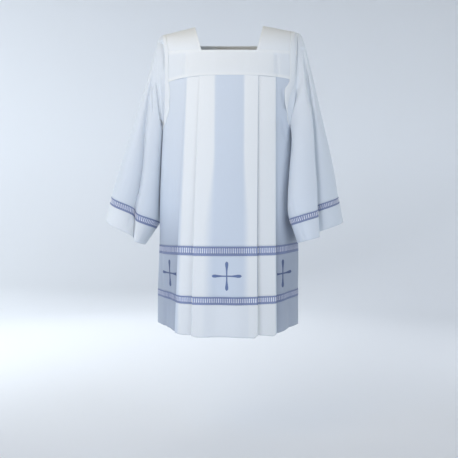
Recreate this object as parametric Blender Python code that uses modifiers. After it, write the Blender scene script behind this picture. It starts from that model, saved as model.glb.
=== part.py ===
"""A surplice, worn: square yoke, pleated body, wide sleeves, bands of insertion lace and six crosses.

Metres, +Z up. The front faces -Y and the wearer's left is +X. The origin is the middle of the
neck on the line of the shoulders. Each cut piece is a wall around the same torso sections, and
neighbours that are sewn together keep a narrow gap.
"""

import math

import bmesh
import bpy

# ---- driving dimensions, in metres ----
PANEL_WALL = 0.0010
YOKE_WALL = 0.0014
LACE_WALL = 0.0010
SLEEVE_WALL = 0.0010
CROSS_WALL = 0.0010
SEAM_GAP = 0.0003
RING_SEAM_GAP = 0.0008  # between rings of a sleeve, which turn a little at their seams

CHEST = -0.0985  # the front neckline and the seam between the straps and the front band
FRONT_BAND_BOTTOM = -0.1825
BACK_NECK = -0.055  # the back neckline and the seam between the straps and the back band
BACK_BAND_BOTTOM = -0.135
BAND_DROOP = 0.016  # how much lower a yoke band is at the armholes than in the middle
UNDERARM = -0.360
UPPER_LACE_TOP = -0.748
UPPER_LACE_BOTTOM = -0.7785
LOWER_LACE_TOP = -0.9145
LOWER_LACE_BOTTOM = -0.9405
HEM = -1.0415

NECK_HALF_TOP = 0.1166
NECK_HALF_BOTTOM = 0.0915
ROUNDNESS = 2.3  # exponent of the torso's oval: 2 is an ellipse, more is squarer
# Lower down the sides fall flatter, from this share of the half width out to the seam.
FLAT_FROM = 0.66
FLAT_END_SLOPE = 4.0  # how steeply the flat part meets the seam, in shares of depth and width
FLAT_MOST = 0.85
SEAM_LEFT = 1e-7  # keeps the fall at the seam itself a finite number
FLAT_HEIGHTS = (-0.75, -0.42)  # fully flat from here down, and not at all from here up

# The torso at each height: half its width on each side, and how far front and back stand from
# the middle. edge is the share of the half width where the armhole cuts the front and back.
TORSO = [
    # height, right half, left half, front, back, edge
    (CHEST, 0.2346, 0.2476, 0.1120, 0.1080, 0.925),
    (-0.180, 0.2328, 0.2457, 0.1180, 0.1140, 0.932),
    (-0.260, 0.2309, 0.2382, 0.1190, 0.1155, 0.955),
    (-0.320, 0.2296, 0.2286, 0.1200, 0.1165, 0.980),
    (UNDERARM, 0.2300, 0.2220, 0.1205, 0.1170, 1.000),
    (-0.450, 0.2335, 0.2220, 0.1215, 0.1185, 1.000),
    (-0.600, 0.2395, 0.2285, 0.1250, 0.1220, 1.000),
    (-0.700, 0.2405, 0.2350, 0.1280, 0.1250, 1.000),
    (UPPER_LACE_TOP, 0.2415, 0.2395, 0.1300, 0.1270, 1.000),
    (LOWER_LACE_TOP, 0.2475, 0.2410, 0.1355, 0.1325, 1.000),
    (HEM, 0.2485, 0.2415, 0.1400, 0.1370, 1.000),
]

# The shoulder on each side: the height of its ridge at the neck and at the tip, and the tip.
SHOULDER = {
    # side: (neck height, tip height, tip from the middle)
    "right": (-0.0075, -0.0345, 0.2270),
    "left": (-0.003, -0.0240, 0.2300),
}

# Distance between two layers of a pleat, and how far the hem lines rise at each side seam.
STACK = [
    # height, layer spacing, rise on the right, rise on the left
    (-0.120, 0.0018, 0.000, 0.000),
    (FRONT_BAND_BOTTOM, 0.0019, 0.000, 0.000),
    (UNDERARM, 0.0026, 0.000, 0.000),
    (UPPER_LACE_TOP, 0.0052, -0.004, 0.005),
    (LOWER_LACE_TOP, 0.0075, 0.009, 0.010),
    (HEM, 0.0090, 0.022, 0.016),
]
RISE_FROM = 0.6  # the share of the half width where a hem line starts to rise

# Two knife pleats a side, folded away from the middle. An outer edge shows; an under edge is
# where the hidden cloth turns back. Each runs straight from the yoke to the hem.
PLEATS = {
    # face and side: outer edge and under edge of the first and second pleat, at yoke and hem
    ("front", "right"): {"fold1": (0.0995, 0.1106), "under1": (0.044, 0.048),
                         "fold2": (0.142, 0.173), "under2": (0.080, 0.095)},
    ("front", "left"): {"fold1": (0.097, 0.085), "under1": (0.048, 0.040),
                        "fold2": (0.155, 0.153), "under2": (0.086, 0.072)},
    ("back", "right"): {"fold1": (0.100, 0.104), "under1": (0.046, 0.047),
                        "fold2": (0.150, 0.160), "under2": (0.084, 0.088)},
    ("back", "left"): {"fold1": (0.102, 0.098), "under1": (0.048, 0.044),
                       "fold2": (0.151, 0.157), "under2": (0.086, 0.083)},
}

# The cloth's way from the middle to the side: the pleat edges it passes and the layer it is in.
# A half layer is the turn of a fold, which stands out by TURN layer spacings.
LAYERS = [
    # edges passed, layer
    (("middle", "quarter", "under1", "under2", "fold1"), 4.0),
    (("fold1",), 3.5),
    (("fold1", "under2", "under1"), 3.0),
    (("under1",), 2.5),
    (("under1", "under2", "fold1", "step", "fold2"), 2.0),
    (("fold2",), 1.5),
    (("fold2", "step", "fold1", "under2"), 1.0),
    (("under2",), 0.5),
    (("under2", "fold1", "step", "fold2"), 0.0),
]
TURN = 0.45
TURN_WAY = {3.5: 1, 2.5: -1, 1.5: 1, 0.5: -1}
SIDE_COLUMNS = 8  # from the last fold to the side edge
PANEL_HEIGHTS = (-0.250, UNDERARM, -0.470, -0.610)  # rows between a yoke band and the lace

# Each sleeve hangs from its armhole. A row is a ring around it: its outer and inner point, how
# far forward or back each lies, half its depth, and the share of the way across where its front
# is folded. The last three rows are the lace and cuff.
SLEEVES = {
    "right": [
        # outer x, outer z, inner x, inner z, outer y, inner y, depth, fold
        (0.2375, -0.0425, 0.2305, -0.3630, 0.000, 0.001, 0.0530, 0.200),
        (0.2450, -0.0600, 0.2315, -0.3660, 0.000, 0.002, 0.0540, 0.200),
        (0.2590, -0.1090, 0.2325, -0.3760, 0.000, 0.005, 0.0550, 0.200),
        (0.2760, -0.1740, 0.2335, -0.3920, -0.001, 0.010, 0.0560, 0.220),
        (0.3105, -0.2820, 0.2350, -0.4400, -0.003, 0.018, 0.0580, 0.355),
        (0.3590, -0.4310, 0.2350, -0.5320, -0.005, 0.030, 0.0610, 0.500),
        (0.3820, -0.5030, 0.2370, -0.6000, -0.006, 0.036, 0.0630, 0.515),
        (0.4055, -0.5840, 0.2430, -0.6760, -0.007, 0.042, 0.0650, 0.505),
        (0.4110, -0.6070, 0.2560, -0.6980, -0.007, 0.040, 0.0660, 0.560),
        (0.4265, -0.6650, 0.2940, -0.7540, -0.008, 0.030, 0.0700, 0.740),
    ],
    "left": [
        (0.2460, -0.0330, 0.2228, -0.3630, 0.000, -0.003, 0.0530, 0.200),
        (0.2570, -0.0580, 0.2235, -0.3660, 0.000, -0.006, 0.0540, 0.200),
        (0.2660, -0.0895, 0.2230, -0.3760, -0.001, -0.016, 0.0550, 0.220),
        (0.2870, -0.1740, 0.2200, -0.3920, -0.003, -0.034, 0.0560, 0.255),
        (0.3120, -0.2820, 0.2120, -0.4380, -0.006, -0.060, 0.0570, 0.315),
        (0.3474, -0.4310, 0.2030, -0.5280, -0.010, -0.080, 0.0600, 0.426),
        (0.3620, -0.5000, 0.1990, -0.5820, -0.013, -0.088, 0.0620, 0.450),
        (0.3760, -0.5850, 0.2030, -0.6590, -0.016, -0.090, 0.0640, 0.494),
        (0.3805, -0.6050, 0.2110, -0.6810, -0.016, -0.090, 0.0650, 0.520),
        (0.3933, -0.6700, 0.2316, -0.7400, -0.018, -0.088, 0.0680, 0.610),
    ],
}
SLEEVE_RINGS = 8  # rings of the sleeve itself; the last is the top of its lace
FOLD_GROWTH = (0.0, 0.0, 0.25, 0.50, 0.75, 0.95, 1.0, 1.0, 1.0, 1.0)  # of the fold, ring by ring
BODY_CLEARANCE = 0.006  # between a hanging sleeve and the body
HALVINGS = 24  # steps of the search for the body's width beside a sleeve
RING_GAP = 0.0013  # between a sleeve's first ring and the armhole's edge
HANG_FOLD = {"right": (0.52, 0.505), "left": (0.57, 0.505)}  # cloth and across of HANG's own fold

# A hanging sleeve's outline from its outer point to its inner one: the share of the cloth, the
# share of the way across, and how far it stands off the line between them, in half depths.
HANG = {
    ("right", "front"): [
        # cloth, across, off
        (0.00, 0.000, 0.00), (0.07, 0.045, 0.50), (0.16, 0.150, 0.86), (0.27, 0.300, 1.00),
        (0.35, 0.400, 0.97), (0.41, 0.455, 0.88), (0.47, 0.490, 0.72), (0.52, 0.505, 0.62),
        (0.57, 0.520, 0.74), (0.62, 0.545, 0.93), (0.68, 0.600, 1.04), (0.78, 0.740, 1.00),
        (0.88, 0.880, 0.76), (0.95, 0.965, 0.42), (1.00, 1.000, 0.00),
    ],
    ("left", "front"): [
        (0.00, 0.000, 0.00), (0.07, 0.045, 0.45), (0.16, 0.150, 0.74), (0.26, 0.280, 0.86),
        (0.34, 0.380, 0.84), (0.41, 0.460, 0.72), (0.47, 0.530, 0.60), (0.51, 0.560, 0.68),
        (0.55, 0.525, 0.84), (0.59, 0.478, 1.00), (0.63, 0.480, 1.14), (0.69, 0.560, 1.20),
        (0.78, 0.720, 1.10), (0.88, 0.870, 0.80), (0.95, 0.965, 0.42), (1.00, 1.000, 0.00),
    ],
    ("right", "back"): [
        (0.00, 0.000, 0.00), (0.08, 0.045, 0.50), (0.20, 0.160, 0.88), (0.33, 0.310, 1.00),
        (0.44, 0.430, 0.86), (0.52, 0.510, 0.74), (0.60, 0.590, 0.84), (0.71, 0.720, 0.98),
        (0.84, 0.860, 0.82), (0.94, 0.960, 0.45), (1.00, 1.000, 0.00),
    ],
    ("left", "back"): [
        (0.00, 0.000, 0.00), (0.08, 0.045, 0.52), (0.20, 0.160, 0.92), (0.32, 0.300, 1.02),
        (0.43, 0.420, 0.90), (0.52, 0.510, 0.78), (0.61, 0.600, 0.86), (0.72, 0.720, 0.96),
        (0.84, 0.860, 0.76), (0.94, 0.960, 0.42), (1.00, 1.000, 0.00),
    ],
}

CROSS_HEIGHT = -0.8455
CROSS_ARM = 0.048  # from the middle to the tip
CROSSES = {
    # face: each cross's middle from the garment's middle, and how much of its arm towards the
    # pleats shows
    "front": {"right": (-0.2030, 0.036), "centre": (-0.0075, 0.048), "left": (0.1820, 0.025)},
    "back": {"right": (-0.2000, 0.040), "centre": (0.0030, 0.048), "left": (0.1980, 0.040)},
}
CROSS_WIDTHS = [
    # share of the arm, half width
    (0.08, 0.0024), (0.35, 0.0027), (0.62, 0.0044), (0.82, 0.0055), (0.94, 0.0040), (1.0, 0.0014),
]

SIGN = {"right": -1, "left": 1}
FACE_WAY = {"front": -1, "back": 1}
FRONT_COLUMN, BACK_COLUMN = 3, 4  # of TORSO


# ---- reading the tables ----
def read(table, at, column):
    """The table's column at a height or share, on straight lines between its rows."""
    falling = table[0][0] > table[-1][0]
    for low, high in zip(table, table[1:]):
        inside = at >= high[0] if falling else at <= high[0]
        if inside:
            share = (at - low[0]) / (high[0] - low[0])
            return low[column] + min(max(share, 0.0), 1.0) * (high[column] - low[column])
    return table[-1][column]


def blend(a, b, share):
    return a + (b - a) * share


def smooth(low, high, at):
    share = min(max((at - low) / (high - low), 0.0), 1.0)
    return share * share * (3 - 2 * share)


# ---- the torso ----
def torso_sizes(face, side, height):
    half = read(TORSO, height, 1 if side == "right" else 2)
    depth = read(TORSO, height, FRONT_COLUMN if face == "front" else BACK_COLUMN)
    return half, depth


def oval(share):
    """How far the plain oval stands out at a share of its half width, and how fast it falls."""
    left = max(1 - share ** ROUNDNESS, SEAM_LEFT)
    return left ** (1 / ROUNDNESS), share ** (ROUNDNESS - 1) * left ** (1 / ROUNDNESS - 1)


def side_fall(share, height):
    """As oval, with the flatter sides of the skirt."""
    out, fall = oval(share)
    if share <= FLAT_FROM:
        return out, fall
    flatness = FLAT_MOST * (1 - smooth(*FLAT_HEIGHTS, height))
    start, start_fall = oval(FLAT_FROM)
    width = 1 - FLAT_FROM
    way = (share - FLAT_FROM) / width
    flat_out = (start * (1 + 2 * way) * (1 - way) ** 2 - start_fall * width * way * (1 - way) ** 2
                + FLAT_END_SLOPE * width * way ** 2 * (1 - way))
    flat_fall = (start * 6 * way * (1 - way) / width + start_fall * (1 - way) * (1 - 3 * way)
                 - FLAT_END_SLOPE * way * (2 - 3 * way))
    return blend(out, flat_out, flatness), blend(fall, flat_fall, flatness)


def torso_point(face, side, angle, height, offset=0.0):
    """A point on the torso: angle 0 is the side seam and a right angle the middle."""
    half, depth = torso_sizes(face, side, height)
    share = max(math.cos(angle), 0.0) ** (2 / ROUNDNESS)
    out, fall = side_fall(share, height)
    length = math.hypot(depth * fall, half)
    x = half * share + offset * depth * fall / length
    y = depth * out + offset * half / length + SEAM_GAP / 2
    return SIGN[side] * x, FACE_WAY[face] * y, height


def angle_at(face, side, x, height):
    half, _ = torso_sizes(face, side, height)
    return math.acos(min(abs(x) / half, 1.0) ** (ROUNDNESS / 2))


def edge_angle(height):
    """The angle of a body piece's edge: the armhole above the underarm, the side seam below."""
    return math.acos(read(TORSO, height, 5) ** (ROUNDNESS / 2))


def ridge(side, share):
    """The height of the shoulder's ridge, from the neck to the tip."""
    neck, tip, _ = SHOULDER[side]
    return blend(neck, tip, share)


def shoulder_point(face, side, share, rise):
    """Above the chest: share runs from neck edge to armhole edge, rise from the chest to the ridge."""
    _, _, tip = SHOULDER[side]
    arm, _, _ = torso_point(face, side, edge_angle(CHEST), CHEST)
    near = blend(NECK_HALF_BOTTOM, NECK_HALF_TOP, rise)
    far = blend(abs(arm), tip, rise)
    x = blend(near, far, share)
    chest_x = blend(NECK_HALF_BOTTOM, abs(arm), share)
    _, y, _ = torso_point(face, side, angle_at(face, side, chest_x, CHEST), CHEST)
    height = blend(CHEST, ridge(side, share), rise)
    return SIGN[side] * x, y * math.sqrt(max(1 - rise * rise, 0.0)), height


def rise_at(side, share, height):
    return (height - CHEST) / (ridge(side, share) - CHEST)


def armhole_point(face, side, share):
    """The armhole's edge, from the tip of the shoulder down to the underarm."""
    tip = SHOULDER[side][1]
    height = blend(tip, UNDERARM, (1 - math.cos(math.pi * share)) / 2)
    if height > CHEST:
        return shoulder_point(face, side, 1.0, rise_at(side, 1.0, height))
    return torso_point(face, side, edge_angle(height), height)


# ---- making solids ----
def material(name, colour, roughness):
    made = bpy.data.materials.new(name)
    made.use_nodes = True
    shader = made.node_tree.nodes["Principled BSDF"]
    shader.inputs["Base Color"].default_value = (*colour, 1.0)
    shader.inputs["Roughness"].default_value = roughness
    shader.inputs["Metallic"].default_value = 0.0
    made.diffuse_color = (*colour, 1.0)
    return made


CLOTH = ((0.80, 0.84, 0.88), 0.80)
LACE = ((0.36, 0.42, 0.58), 0.75)
EMBROIDERY = ((0.22, 0.28, 0.45), 0.60)


def cloth_wall(name, points, faces, wall, look, collection):
    """A sheet of the given points with a wall's thickness, half on each side."""
    mesh = bpy.data.meshes.new(name)
    mesh.from_pydata(points, [], faces)
    sheet = bpy.data.objects.new(name, mesh)
    collection.objects.link(sheet)
    thicken = sheet.modifiers.new("wall", "SOLIDIFY")
    thicken.thickness = wall
    thicken.offset = 0.0
    thicken.use_even_offset = True
    thicken.use_quality_normals = True
    mesh.materials.append(material(name + "_material", *look))
    mesh.shade_smooth()
    mesh.set_sharp_from_angle(angle=math.radians(40))
    return sheet


def loft(name, rows, wall, look, collection, closed=False):
    """A wall through rows of points, closed round each row for a tube."""
    count = len(rows[0])
    points = [point for row in rows for point in row]
    faces = []
    for r in range(len(rows) - 1):
        for c in range(count if closed else count - 1):
            following = (c + 1) % count
            faces.append((r * count + c, r * count + following,
                          (r + 1) * count + following, (r + 1) * count + c))
    return cloth_wall(name, points, faces, wall, look, collection)


# ---- the body's pieces ----
def pleat_edge(face, side, name, height):
    """How far from the middle a pleat's edge lies at a height."""
    table = PLEATS[(face, side)]
    down = (height - FRONT_BAND_BOTTOM) / (HEM - FRONT_BAND_BOTTOM)
    if name == "middle":
        return 0.0
    if name == "quarter":
        return pleat_edge(face, side, "under1", height) / 2
    if name == "step":
        near, far = (pleat_edge(face, side, edge, height) for edge in ("fold1", "fold2"))
        return (near + far) / 2
    yoke, hem = table[name]
    return blend(yoke, hem, down)


def body_column(face, side, height, edge=None, layer=0.0, side_share=0.0):
    """A point of the pleated body on one of its columns."""
    spacing = read(STACK, height, 1)
    last_fold = pleat_edge(face, side, "fold2", height)
    if edge is None:
        start = angle_at(face, side, last_fold, height)
        angle = blend(start, edge_angle(height), side_share)
    else:
        x = pleat_edge(face, side, edge, height) + TURN_WAY.get(layer, 0) * TURN * spacing
        angle = angle_at(face, side, x, height)
    half, _ = torso_sizes(face, side, height)
    share = max(math.cos(angle), 0.0) ** (2 / ROUNDNESS)
    x, y, _ = torso_point(face, side, angle, height, layer * spacing)
    rise = read(STACK, height, 2 if side == "right" else 3)
    return x, y, height + rise * smooth(RISE_FROM, 1.0, share)


def half_columns(side):
    """The columns of one half, from the middle to the side, as keywords of body_column."""
    columns = []
    for edges, layer in LAYERS:
        columns += [{"edge": edge, "layer": layer} for edge in edges]
    columns += [{"side_share": (c + 1) / SIDE_COLUMNS} for c in range(SIDE_COLUMNS)]
    return [(side, column) for column in columns]


def all_columns():
    right, left = half_columns("right"), half_columns("left")
    return right[::-1] + left[1:]


def body_row(face, height, droop=0.0):
    """A row of the body at a height, lower towards the armholes by droop."""
    row = []
    for side, column in all_columns():
        x, _, _ = body_column(face, side, height, **column)
        half, _ = torso_sizes(face, side, height)
        lower = height - droop * (abs(x) / half) ** 2
        row.append(body_column(face, side, lower, **column))
    return row


def body_piece(name, face, heights, wall, look, collection):
    """A piece right across the front or back. Only the first row may droop with the yoke."""
    rows = [body_row(face, height, droop) for height, droop in heights]
    return loft(name, rows if face == "front" else [row[::-1] for row in rows],
                wall, look, collection)


def make_body(face, collection):
    band_bottom = FRONT_BAND_BOTTOM if face == "front" else BACK_BAND_BOTTOM
    panel = [(band_bottom - SEAM_GAP, BAND_DROOP)]
    panel += [(height, 0.0) for height in PANEL_HEIGHTS]
    panel += [(UPPER_LACE_TOP + SEAM_GAP, 0.0)]
    body_piece(face + "_panel", face, panel, PANEL_WALL, CLOTH, collection)
    bands = [
        # name, top, bottom, wall, look
        ("_lace_upper", UPPER_LACE_TOP, UPPER_LACE_BOTTOM, LACE_WALL, LACE),
        ("_cross_band", UPPER_LACE_BOTTOM, LOWER_LACE_TOP, PANEL_WALL, CLOTH),
        ("_lace_lower", LOWER_LACE_TOP, LOWER_LACE_BOTTOM, LACE_WALL, LACE),
        ("_hem_band", LOWER_LACE_BOTTOM, HEM, PANEL_WALL, CLOTH),
    ]
    for name, top, bottom, wall, look in bands:
        below = bottom if bottom == HEM else bottom + SEAM_GAP
        body_piece(face + name, face, [(top, 0.0), (below, 0.0)], wall, look, collection)


# ---- the yoke ----
NECK_COLUMNS = 4  # of each half of a yoke band, from the middle to the neck's edge
BAND_ROWS = 4
STRAP_COLUMNS = 6  # from there to the armhole, the same as the strap's own
STRAP_ROWS = 12
BAND_SWELL = 0.0078  # how far the bottom of a band stands out over the pleats sewn to it
SWELL_FROM, SWELL_TO = 0.090, 0.175  # where that swell starts and stops falling off


def band_swell(x, down):
    return BAND_SWELL * (1 - smooth(SWELL_FROM, SWELL_TO, abs(x))) * smooth(0.0, 1.0, down)


def band_point(face, side, part, share, height, down):
    """A point of a yoke band. share runs to the neck's edge, or in the strap part on to the armhole."""
    if height > CHEST and part == "strap":
        return shoulder_point(face, side, share, rise_at(side, share, height))
    if height > CHEST:
        rise = rise_at(side, 0.0, height)
        edge = blend(NECK_HALF_BOTTOM, NECK_HALF_TOP, rise)
        angle = angle_at(face, side, share * NECK_HALF_BOTTOM, CHEST)
        _, y, _ = torso_point(face, side, angle, CHEST)
        return SIGN[side] * share * edge, y * math.sqrt(1 - rise * rise), height
    half, _ = torso_sizes(face, side, height)
    arm = half * math.cos(edge_angle(height)) ** (2 / ROUNDNESS)
    x = share * NECK_HALF_BOTTOM if part == "neck" else blend(NECK_HALF_BOTTOM, arm, share)
    lower = height - BAND_DROOP * down * (x / half) ** 2
    return torso_point(face, side, angle_at(face, side, x, lower), lower, band_swell(x, down))


def make_band(face, collection):
    top = CHEST if face == "front" else BACK_NECK - SEAM_GAP
    bottom = FRONT_BAND_BOTTOM if face == "front" else BACK_BAND_BOTTOM
    half = [("neck", c / NECK_COLUMNS) for c in range(1, NECK_COLUMNS)]
    half += [("strap", c / STRAP_COLUMNS) for c in range(STRAP_COLUMNS + 1)]
    columns = [("right", *column) for column in half[::-1]] + [("left", "neck", 0.0)]
    columns += [("left", *column) for column in half]
    rows = []
    for r in range(BAND_ROWS + 1):
        down = r / BAND_ROWS
        rows.append([band_point(face, *column, blend(top, bottom, down), down)
                     for column in columns])
    rows = rows if face == "front" else [row[::-1] for row in rows]
    loft(face + "_yoke_band", rows, YOKE_WALL, CLOTH, collection)


def make_strap(side, collection):
    """A strap of the yoke, from the front band over the shoulder to the back band."""
    rows = []
    for c in range(STRAP_COLUMNS + 1):
        share = c / STRAP_COLUMNS
        back_turn = math.acos(rise_at(side, share, BACK_NECK))
        front_turn = math.acos(SEAM_GAP / (ridge(side, share) - CHEST))
        row = []
        for r in range(STRAP_ROWS + 1):
            turn = blend(-front_turn, back_turn, r / STRAP_ROWS)
            face = "front" if turn < 0 else "back"
            row.append(shoulder_point(face, side, share, math.cos(turn)))
        rows.append(row)
    loft("yoke_strap_" + side, rows if side == "left" else rows[::-1], YOKE_WALL, CLOTH, collection)


# ---- the sleeves ----
def body_half_at(side, y, height):
    """The body's half width at a distance y in front of or behind its middle."""
    half, depth = torso_sizes("front" if y < 0 else "back", side, height)
    low, high = 0.0, 1.0
    for _ in range(HALVINGS):
        middle = (low + high) / 2
        if side_fall(middle, height)[0] * depth > abs(y):
            low = middle
        else:
            high = middle
    return half * low


def moved(value, old, new):
    """A share from 0 to 1, stretched so that the old place of a fold comes to the new one."""
    return value * new / old if value < old else 1 - (1 - value) * (1 - new) / (1 - old)


def hang_point(side, face, ring, cloth):
    """A point of a hanging ring, at a share of the cloth from its outer to its inner point."""
    outer_x, outer_z, inner_x, inner_z, outer_y, inner_y, depth, fold = SLEEVES[side][ring]
    grown = FOLD_GROWTH[ring]
    hung_across, hung_off = (read(HANG[(side, face)], cloth, column) for column in (1, 2))
    if face == "front":
        old_cloth, old_across = HANG_FOLD[side]
        plain_fold = math.acos(1 - 2 * fold) / math.pi
        cloth = moved(cloth, old_cloth, blend(plain_fold, fold, grown))
        hung_across = moved(hung_across, old_across, fold)
    plain_across = (1 - math.cos(math.pi * cloth)) / 2
    plain_off = math.sin(math.pi * cloth) ** 0.8
    across = blend(plain_across, hung_across, grown)
    off = blend(plain_off, hung_off, grown)
    x = blend(outer_x, inner_x, across)
    y = blend(outer_y, inner_y, across) + FACE_WAY[face] * off * depth
    z = blend(outer_z, inner_z, blend(across, cloth, grown))
    free = RING_GAP + (BODY_CLEARANCE - RING_GAP) * smooth(UNDERARM, UNDERARM - 0.12, z)
    x = max(x, body_half_at(side, y, z) + free)
    return SIGN[side] * x, y, z


def cloth_shares(side):
    """The sleeve's columns: down the front from the outer point, and back up behind."""
    front = [("front", row[0]) for row in HANG[(side, "front")]]
    back = [("back", row[0]) for row in HANG[(side, "back")]]
    return front + back[-2:0:-1]


def sleeve_ring(side, ring):
    if ring < 0:
        points = []
        for face, cloth in cloth_shares(side):
            x, y, z = armhole_point(face, side, cloth)
            points.append((x + SIGN[side] * RING_GAP, y, z))
        return points
    return [hang_point(side, face, ring, cloth) for face, cloth in cloth_shares(side)]


def shortened(upper, lower, gap):
    """The lower ring moved up towards the upper one by a gap."""
    moved = []
    for a, b in zip(upper, lower):
        length = math.dist(a, b)
        moved.append(tuple(blend(q, p, gap / length) for p, q in zip(a, b)))
    return moved


def make_sleeve(side, collection):
    rings = [sleeve_ring(side, ring) for ring in range(-1, len(SLEEVES[side]))]
    if side == "right":
        rings = [ring[::-1] for ring in rings]
    sleeve, lace, cuff = rings[: SLEEVE_RINGS + 1], rings[SLEEVE_RINGS:-1], rings[-2:]
    sleeve[-1] = shortened(sleeve[-2], sleeve[-1], RING_SEAM_GAP)
    lace[-1] = shortened(lace[-2], lace[-1], RING_SEAM_GAP)
    loft("sleeve_" + side, sleeve, SLEEVE_WALL, CLOTH, collection, closed=True)
    loft("sleeve_lace_" + side, lace, LACE_WALL, LACE, collection, closed=True)
    loft("cuff_" + side, cuff, SLEEVE_WALL, CLOTH, collection, closed=True)


# ---- the crosses ----
def shows_beside(column):
    """Whether a column lies in the plain cloth between the last fold and the side seam."""
    return "side_share" in column or (column["edge"], column["layer"]) == ("fold2", 0.0)


def band_line(face, height, place):
    """The cross band's points at a height: the middle panel's, or those beside the pleats."""
    line = []
    for side, column in all_columns():
        if column.get("layer") == 4.0 if place == "centre" else side == place and shows_beside(column):
            line.append(body_point_between(face, side, column, height))
    return sorted(line)


def body_point_between(face, side, column, height):
    """A column of the cross band between its top and bottom edges."""
    share = (height - UPPER_LACE_BOTTOM) / (LOWER_LACE_TOP + SEAM_GAP - UPPER_LACE_BOTTOM)
    top = body_column(face, side, UPPER_LACE_BOTTOM, **column)
    bottom = body_column(face, side, LOWER_LACE_TOP + SEAM_GAP, **column)
    return tuple(blend(a, b, share) for a, b in zip(top, bottom))


def distances(line):
    """How far along a line of points each one lies."""
    passed = [0.0]
    for a, b in zip(line, line[1:]):
        passed.append(passed[-1] + math.dist(a, b))
    return passed


def start_on(line, x_middle):
    """How far along a line of points a cross's middle lies."""
    for a, b, passed in zip(line, line[1:], distances(line)):
        if a[0] <= x_middle <= b[0]:
            return passed + math.dist(a, b) * (x_middle - a[0]) / (b[0] - a[0])
    return distances(line)[-1]


def point_on_band(face, place, along, height, out):
    """The point a distance along the band from a cross's middle, moved out from its surface."""
    x_middle, _ = CROSSES[face][place]
    line = band_line(face, height, place)
    passed = distances(line)
    target = start_on(line, x_middle) + along
    c = max([i for i in range(len(line) - 1) if passed[i] <= target], default=0)
    share = (target - passed[c]) / (passed[c + 1] - passed[c])
    x, y, z = (blend(a, b, share) for a, b in zip(line[c], line[c + 1]))
    nearest = c if share < 0.5 else c + 1
    before, after = line[max(nearest - 1, 0)], line[min(nearest + 1, len(line) - 1)]
    way_x, way_y = line[c + 1][0] - line[c][0], line[c + 1][1] - line[c][1]
    if abs(target - passed[nearest]) < 0.0005:
        way_x, way_y = after[0] - before[0], after[1] - before[1]
    out /= math.hypot(way_x, way_y)
    turned = -FACE_WAY[face]
    return x + turned * way_y * out, y - turned * way_x * out, z


def arm_stations(reach, corners):
    """Distances from a cross's middle with half widths, stopping where a pleat covers the arm."""
    ends = [share * CROSS_ARM for share, _ in CROSS_WIDTHS]
    near = [corner for corner in corners if all(abs(corner - end) > 0.002 for end in ends)]
    stations = sorted(end for end in ends + near if ends[0] <= end < reach - 0.001)
    stations.append(reach)
    return [(station, read(CROSS_WIDTHS, station / CROSS_ARM, 1)) for station in stations]


def make_cross(face, place, collection):
    """Four arms that widen towards round tips, stitched on the cross band."""
    x_middle, covered_reach = CROSSES[face][place]
    covered_arm = {"right": 0, "left": 2}.get(place)
    line = band_line(face, CROSS_HEIGHT, place)
    start = start_on(line, x_middle)
    flat, faces, bases = [], [], []
    for arm in range(4):
        way_x, way_z = round(math.cos(arm * math.pi / 2)), round(math.sin(arm * math.pi / 2))
        corners = [way_x * (passed - start) for passed in distances(line)] if way_x else []
        stations = arm_stations(covered_reach if arm == covered_arm else CROSS_ARM, corners)
        bases.append(len(flat))
        for reach, half in stations:
            for side in (-half, 0.0, half):
                flat.append((way_x * reach - way_z * side, way_z * reach + way_x * side))
        for r in range(len(stations) - 1):
            for c in range(2):
                low = bases[-1] + r * 3 + c
                faces.append((low, low + 3, low + 4, low + 1))
    flat.append((0.0, 0.0))
    for arm, base in enumerate(bases):
        following = bases[(arm + 1) % 4]
        faces.append((len(flat) - 1, base + 1, base + 2, following))
        faces.append((len(flat) - 1, following, following + 1))
    out = PANEL_WALL / 2 + SEAM_GAP + CROSS_WALL / 2
    points = [point_on_band(face, place, along, CROSS_HEIGHT + up, out) for along, up in flat]
    name = "cross_" + face + "_" + place
    sheet = cloth_wall(name, points, faces, CROSS_WALL, EMBROIDERY, collection)
    shape = bmesh.new()
    shape.from_mesh(sheet.data)
    bmesh.ops.remove_doubles(shape, verts=shape.verts, dist=0.0001)
    bmesh.ops.recalc_face_normals(shape, faces=shape.faces)
    shape.to_mesh(sheet.data)
    shape.free()


# ---- the whole garment ----
def main():
    for old in list(bpy.data.objects):
        bpy.data.objects.remove(old, do_unlink=True)
    collection = bpy.data.collections.new("surplice")
    bpy.context.scene.collection.children.link(collection)
    for face in ("front", "back"):
        make_band(face, collection)
        make_body(face, collection)
        for place in CROSSES[face]:
            make_cross(face, place, collection)
    for side in ("right", "left"):
        make_strap(side, collection)
        make_sleeve(side, collection)


main()
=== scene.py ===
import math

import bpy
import numpy as np
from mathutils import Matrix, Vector


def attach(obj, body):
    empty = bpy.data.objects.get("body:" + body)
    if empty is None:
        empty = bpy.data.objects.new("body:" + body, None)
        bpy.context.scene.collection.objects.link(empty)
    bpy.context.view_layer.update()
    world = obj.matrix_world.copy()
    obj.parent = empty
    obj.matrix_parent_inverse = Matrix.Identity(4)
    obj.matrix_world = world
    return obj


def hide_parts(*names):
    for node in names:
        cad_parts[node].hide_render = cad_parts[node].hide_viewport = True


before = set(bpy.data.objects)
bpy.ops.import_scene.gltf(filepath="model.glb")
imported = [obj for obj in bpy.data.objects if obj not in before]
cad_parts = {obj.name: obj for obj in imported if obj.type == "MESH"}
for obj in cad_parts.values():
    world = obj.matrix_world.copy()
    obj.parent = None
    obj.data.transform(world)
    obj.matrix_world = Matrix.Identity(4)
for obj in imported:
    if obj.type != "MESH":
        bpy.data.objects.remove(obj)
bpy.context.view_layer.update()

bpy.ops.object.select_all(action="DESELECT")

# The surplice as it hangs on its wearer, in metres. The front faces -Y, the wearer's left is +X,
# and the origin is the middle of the neck on the line of the shoulders.

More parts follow.
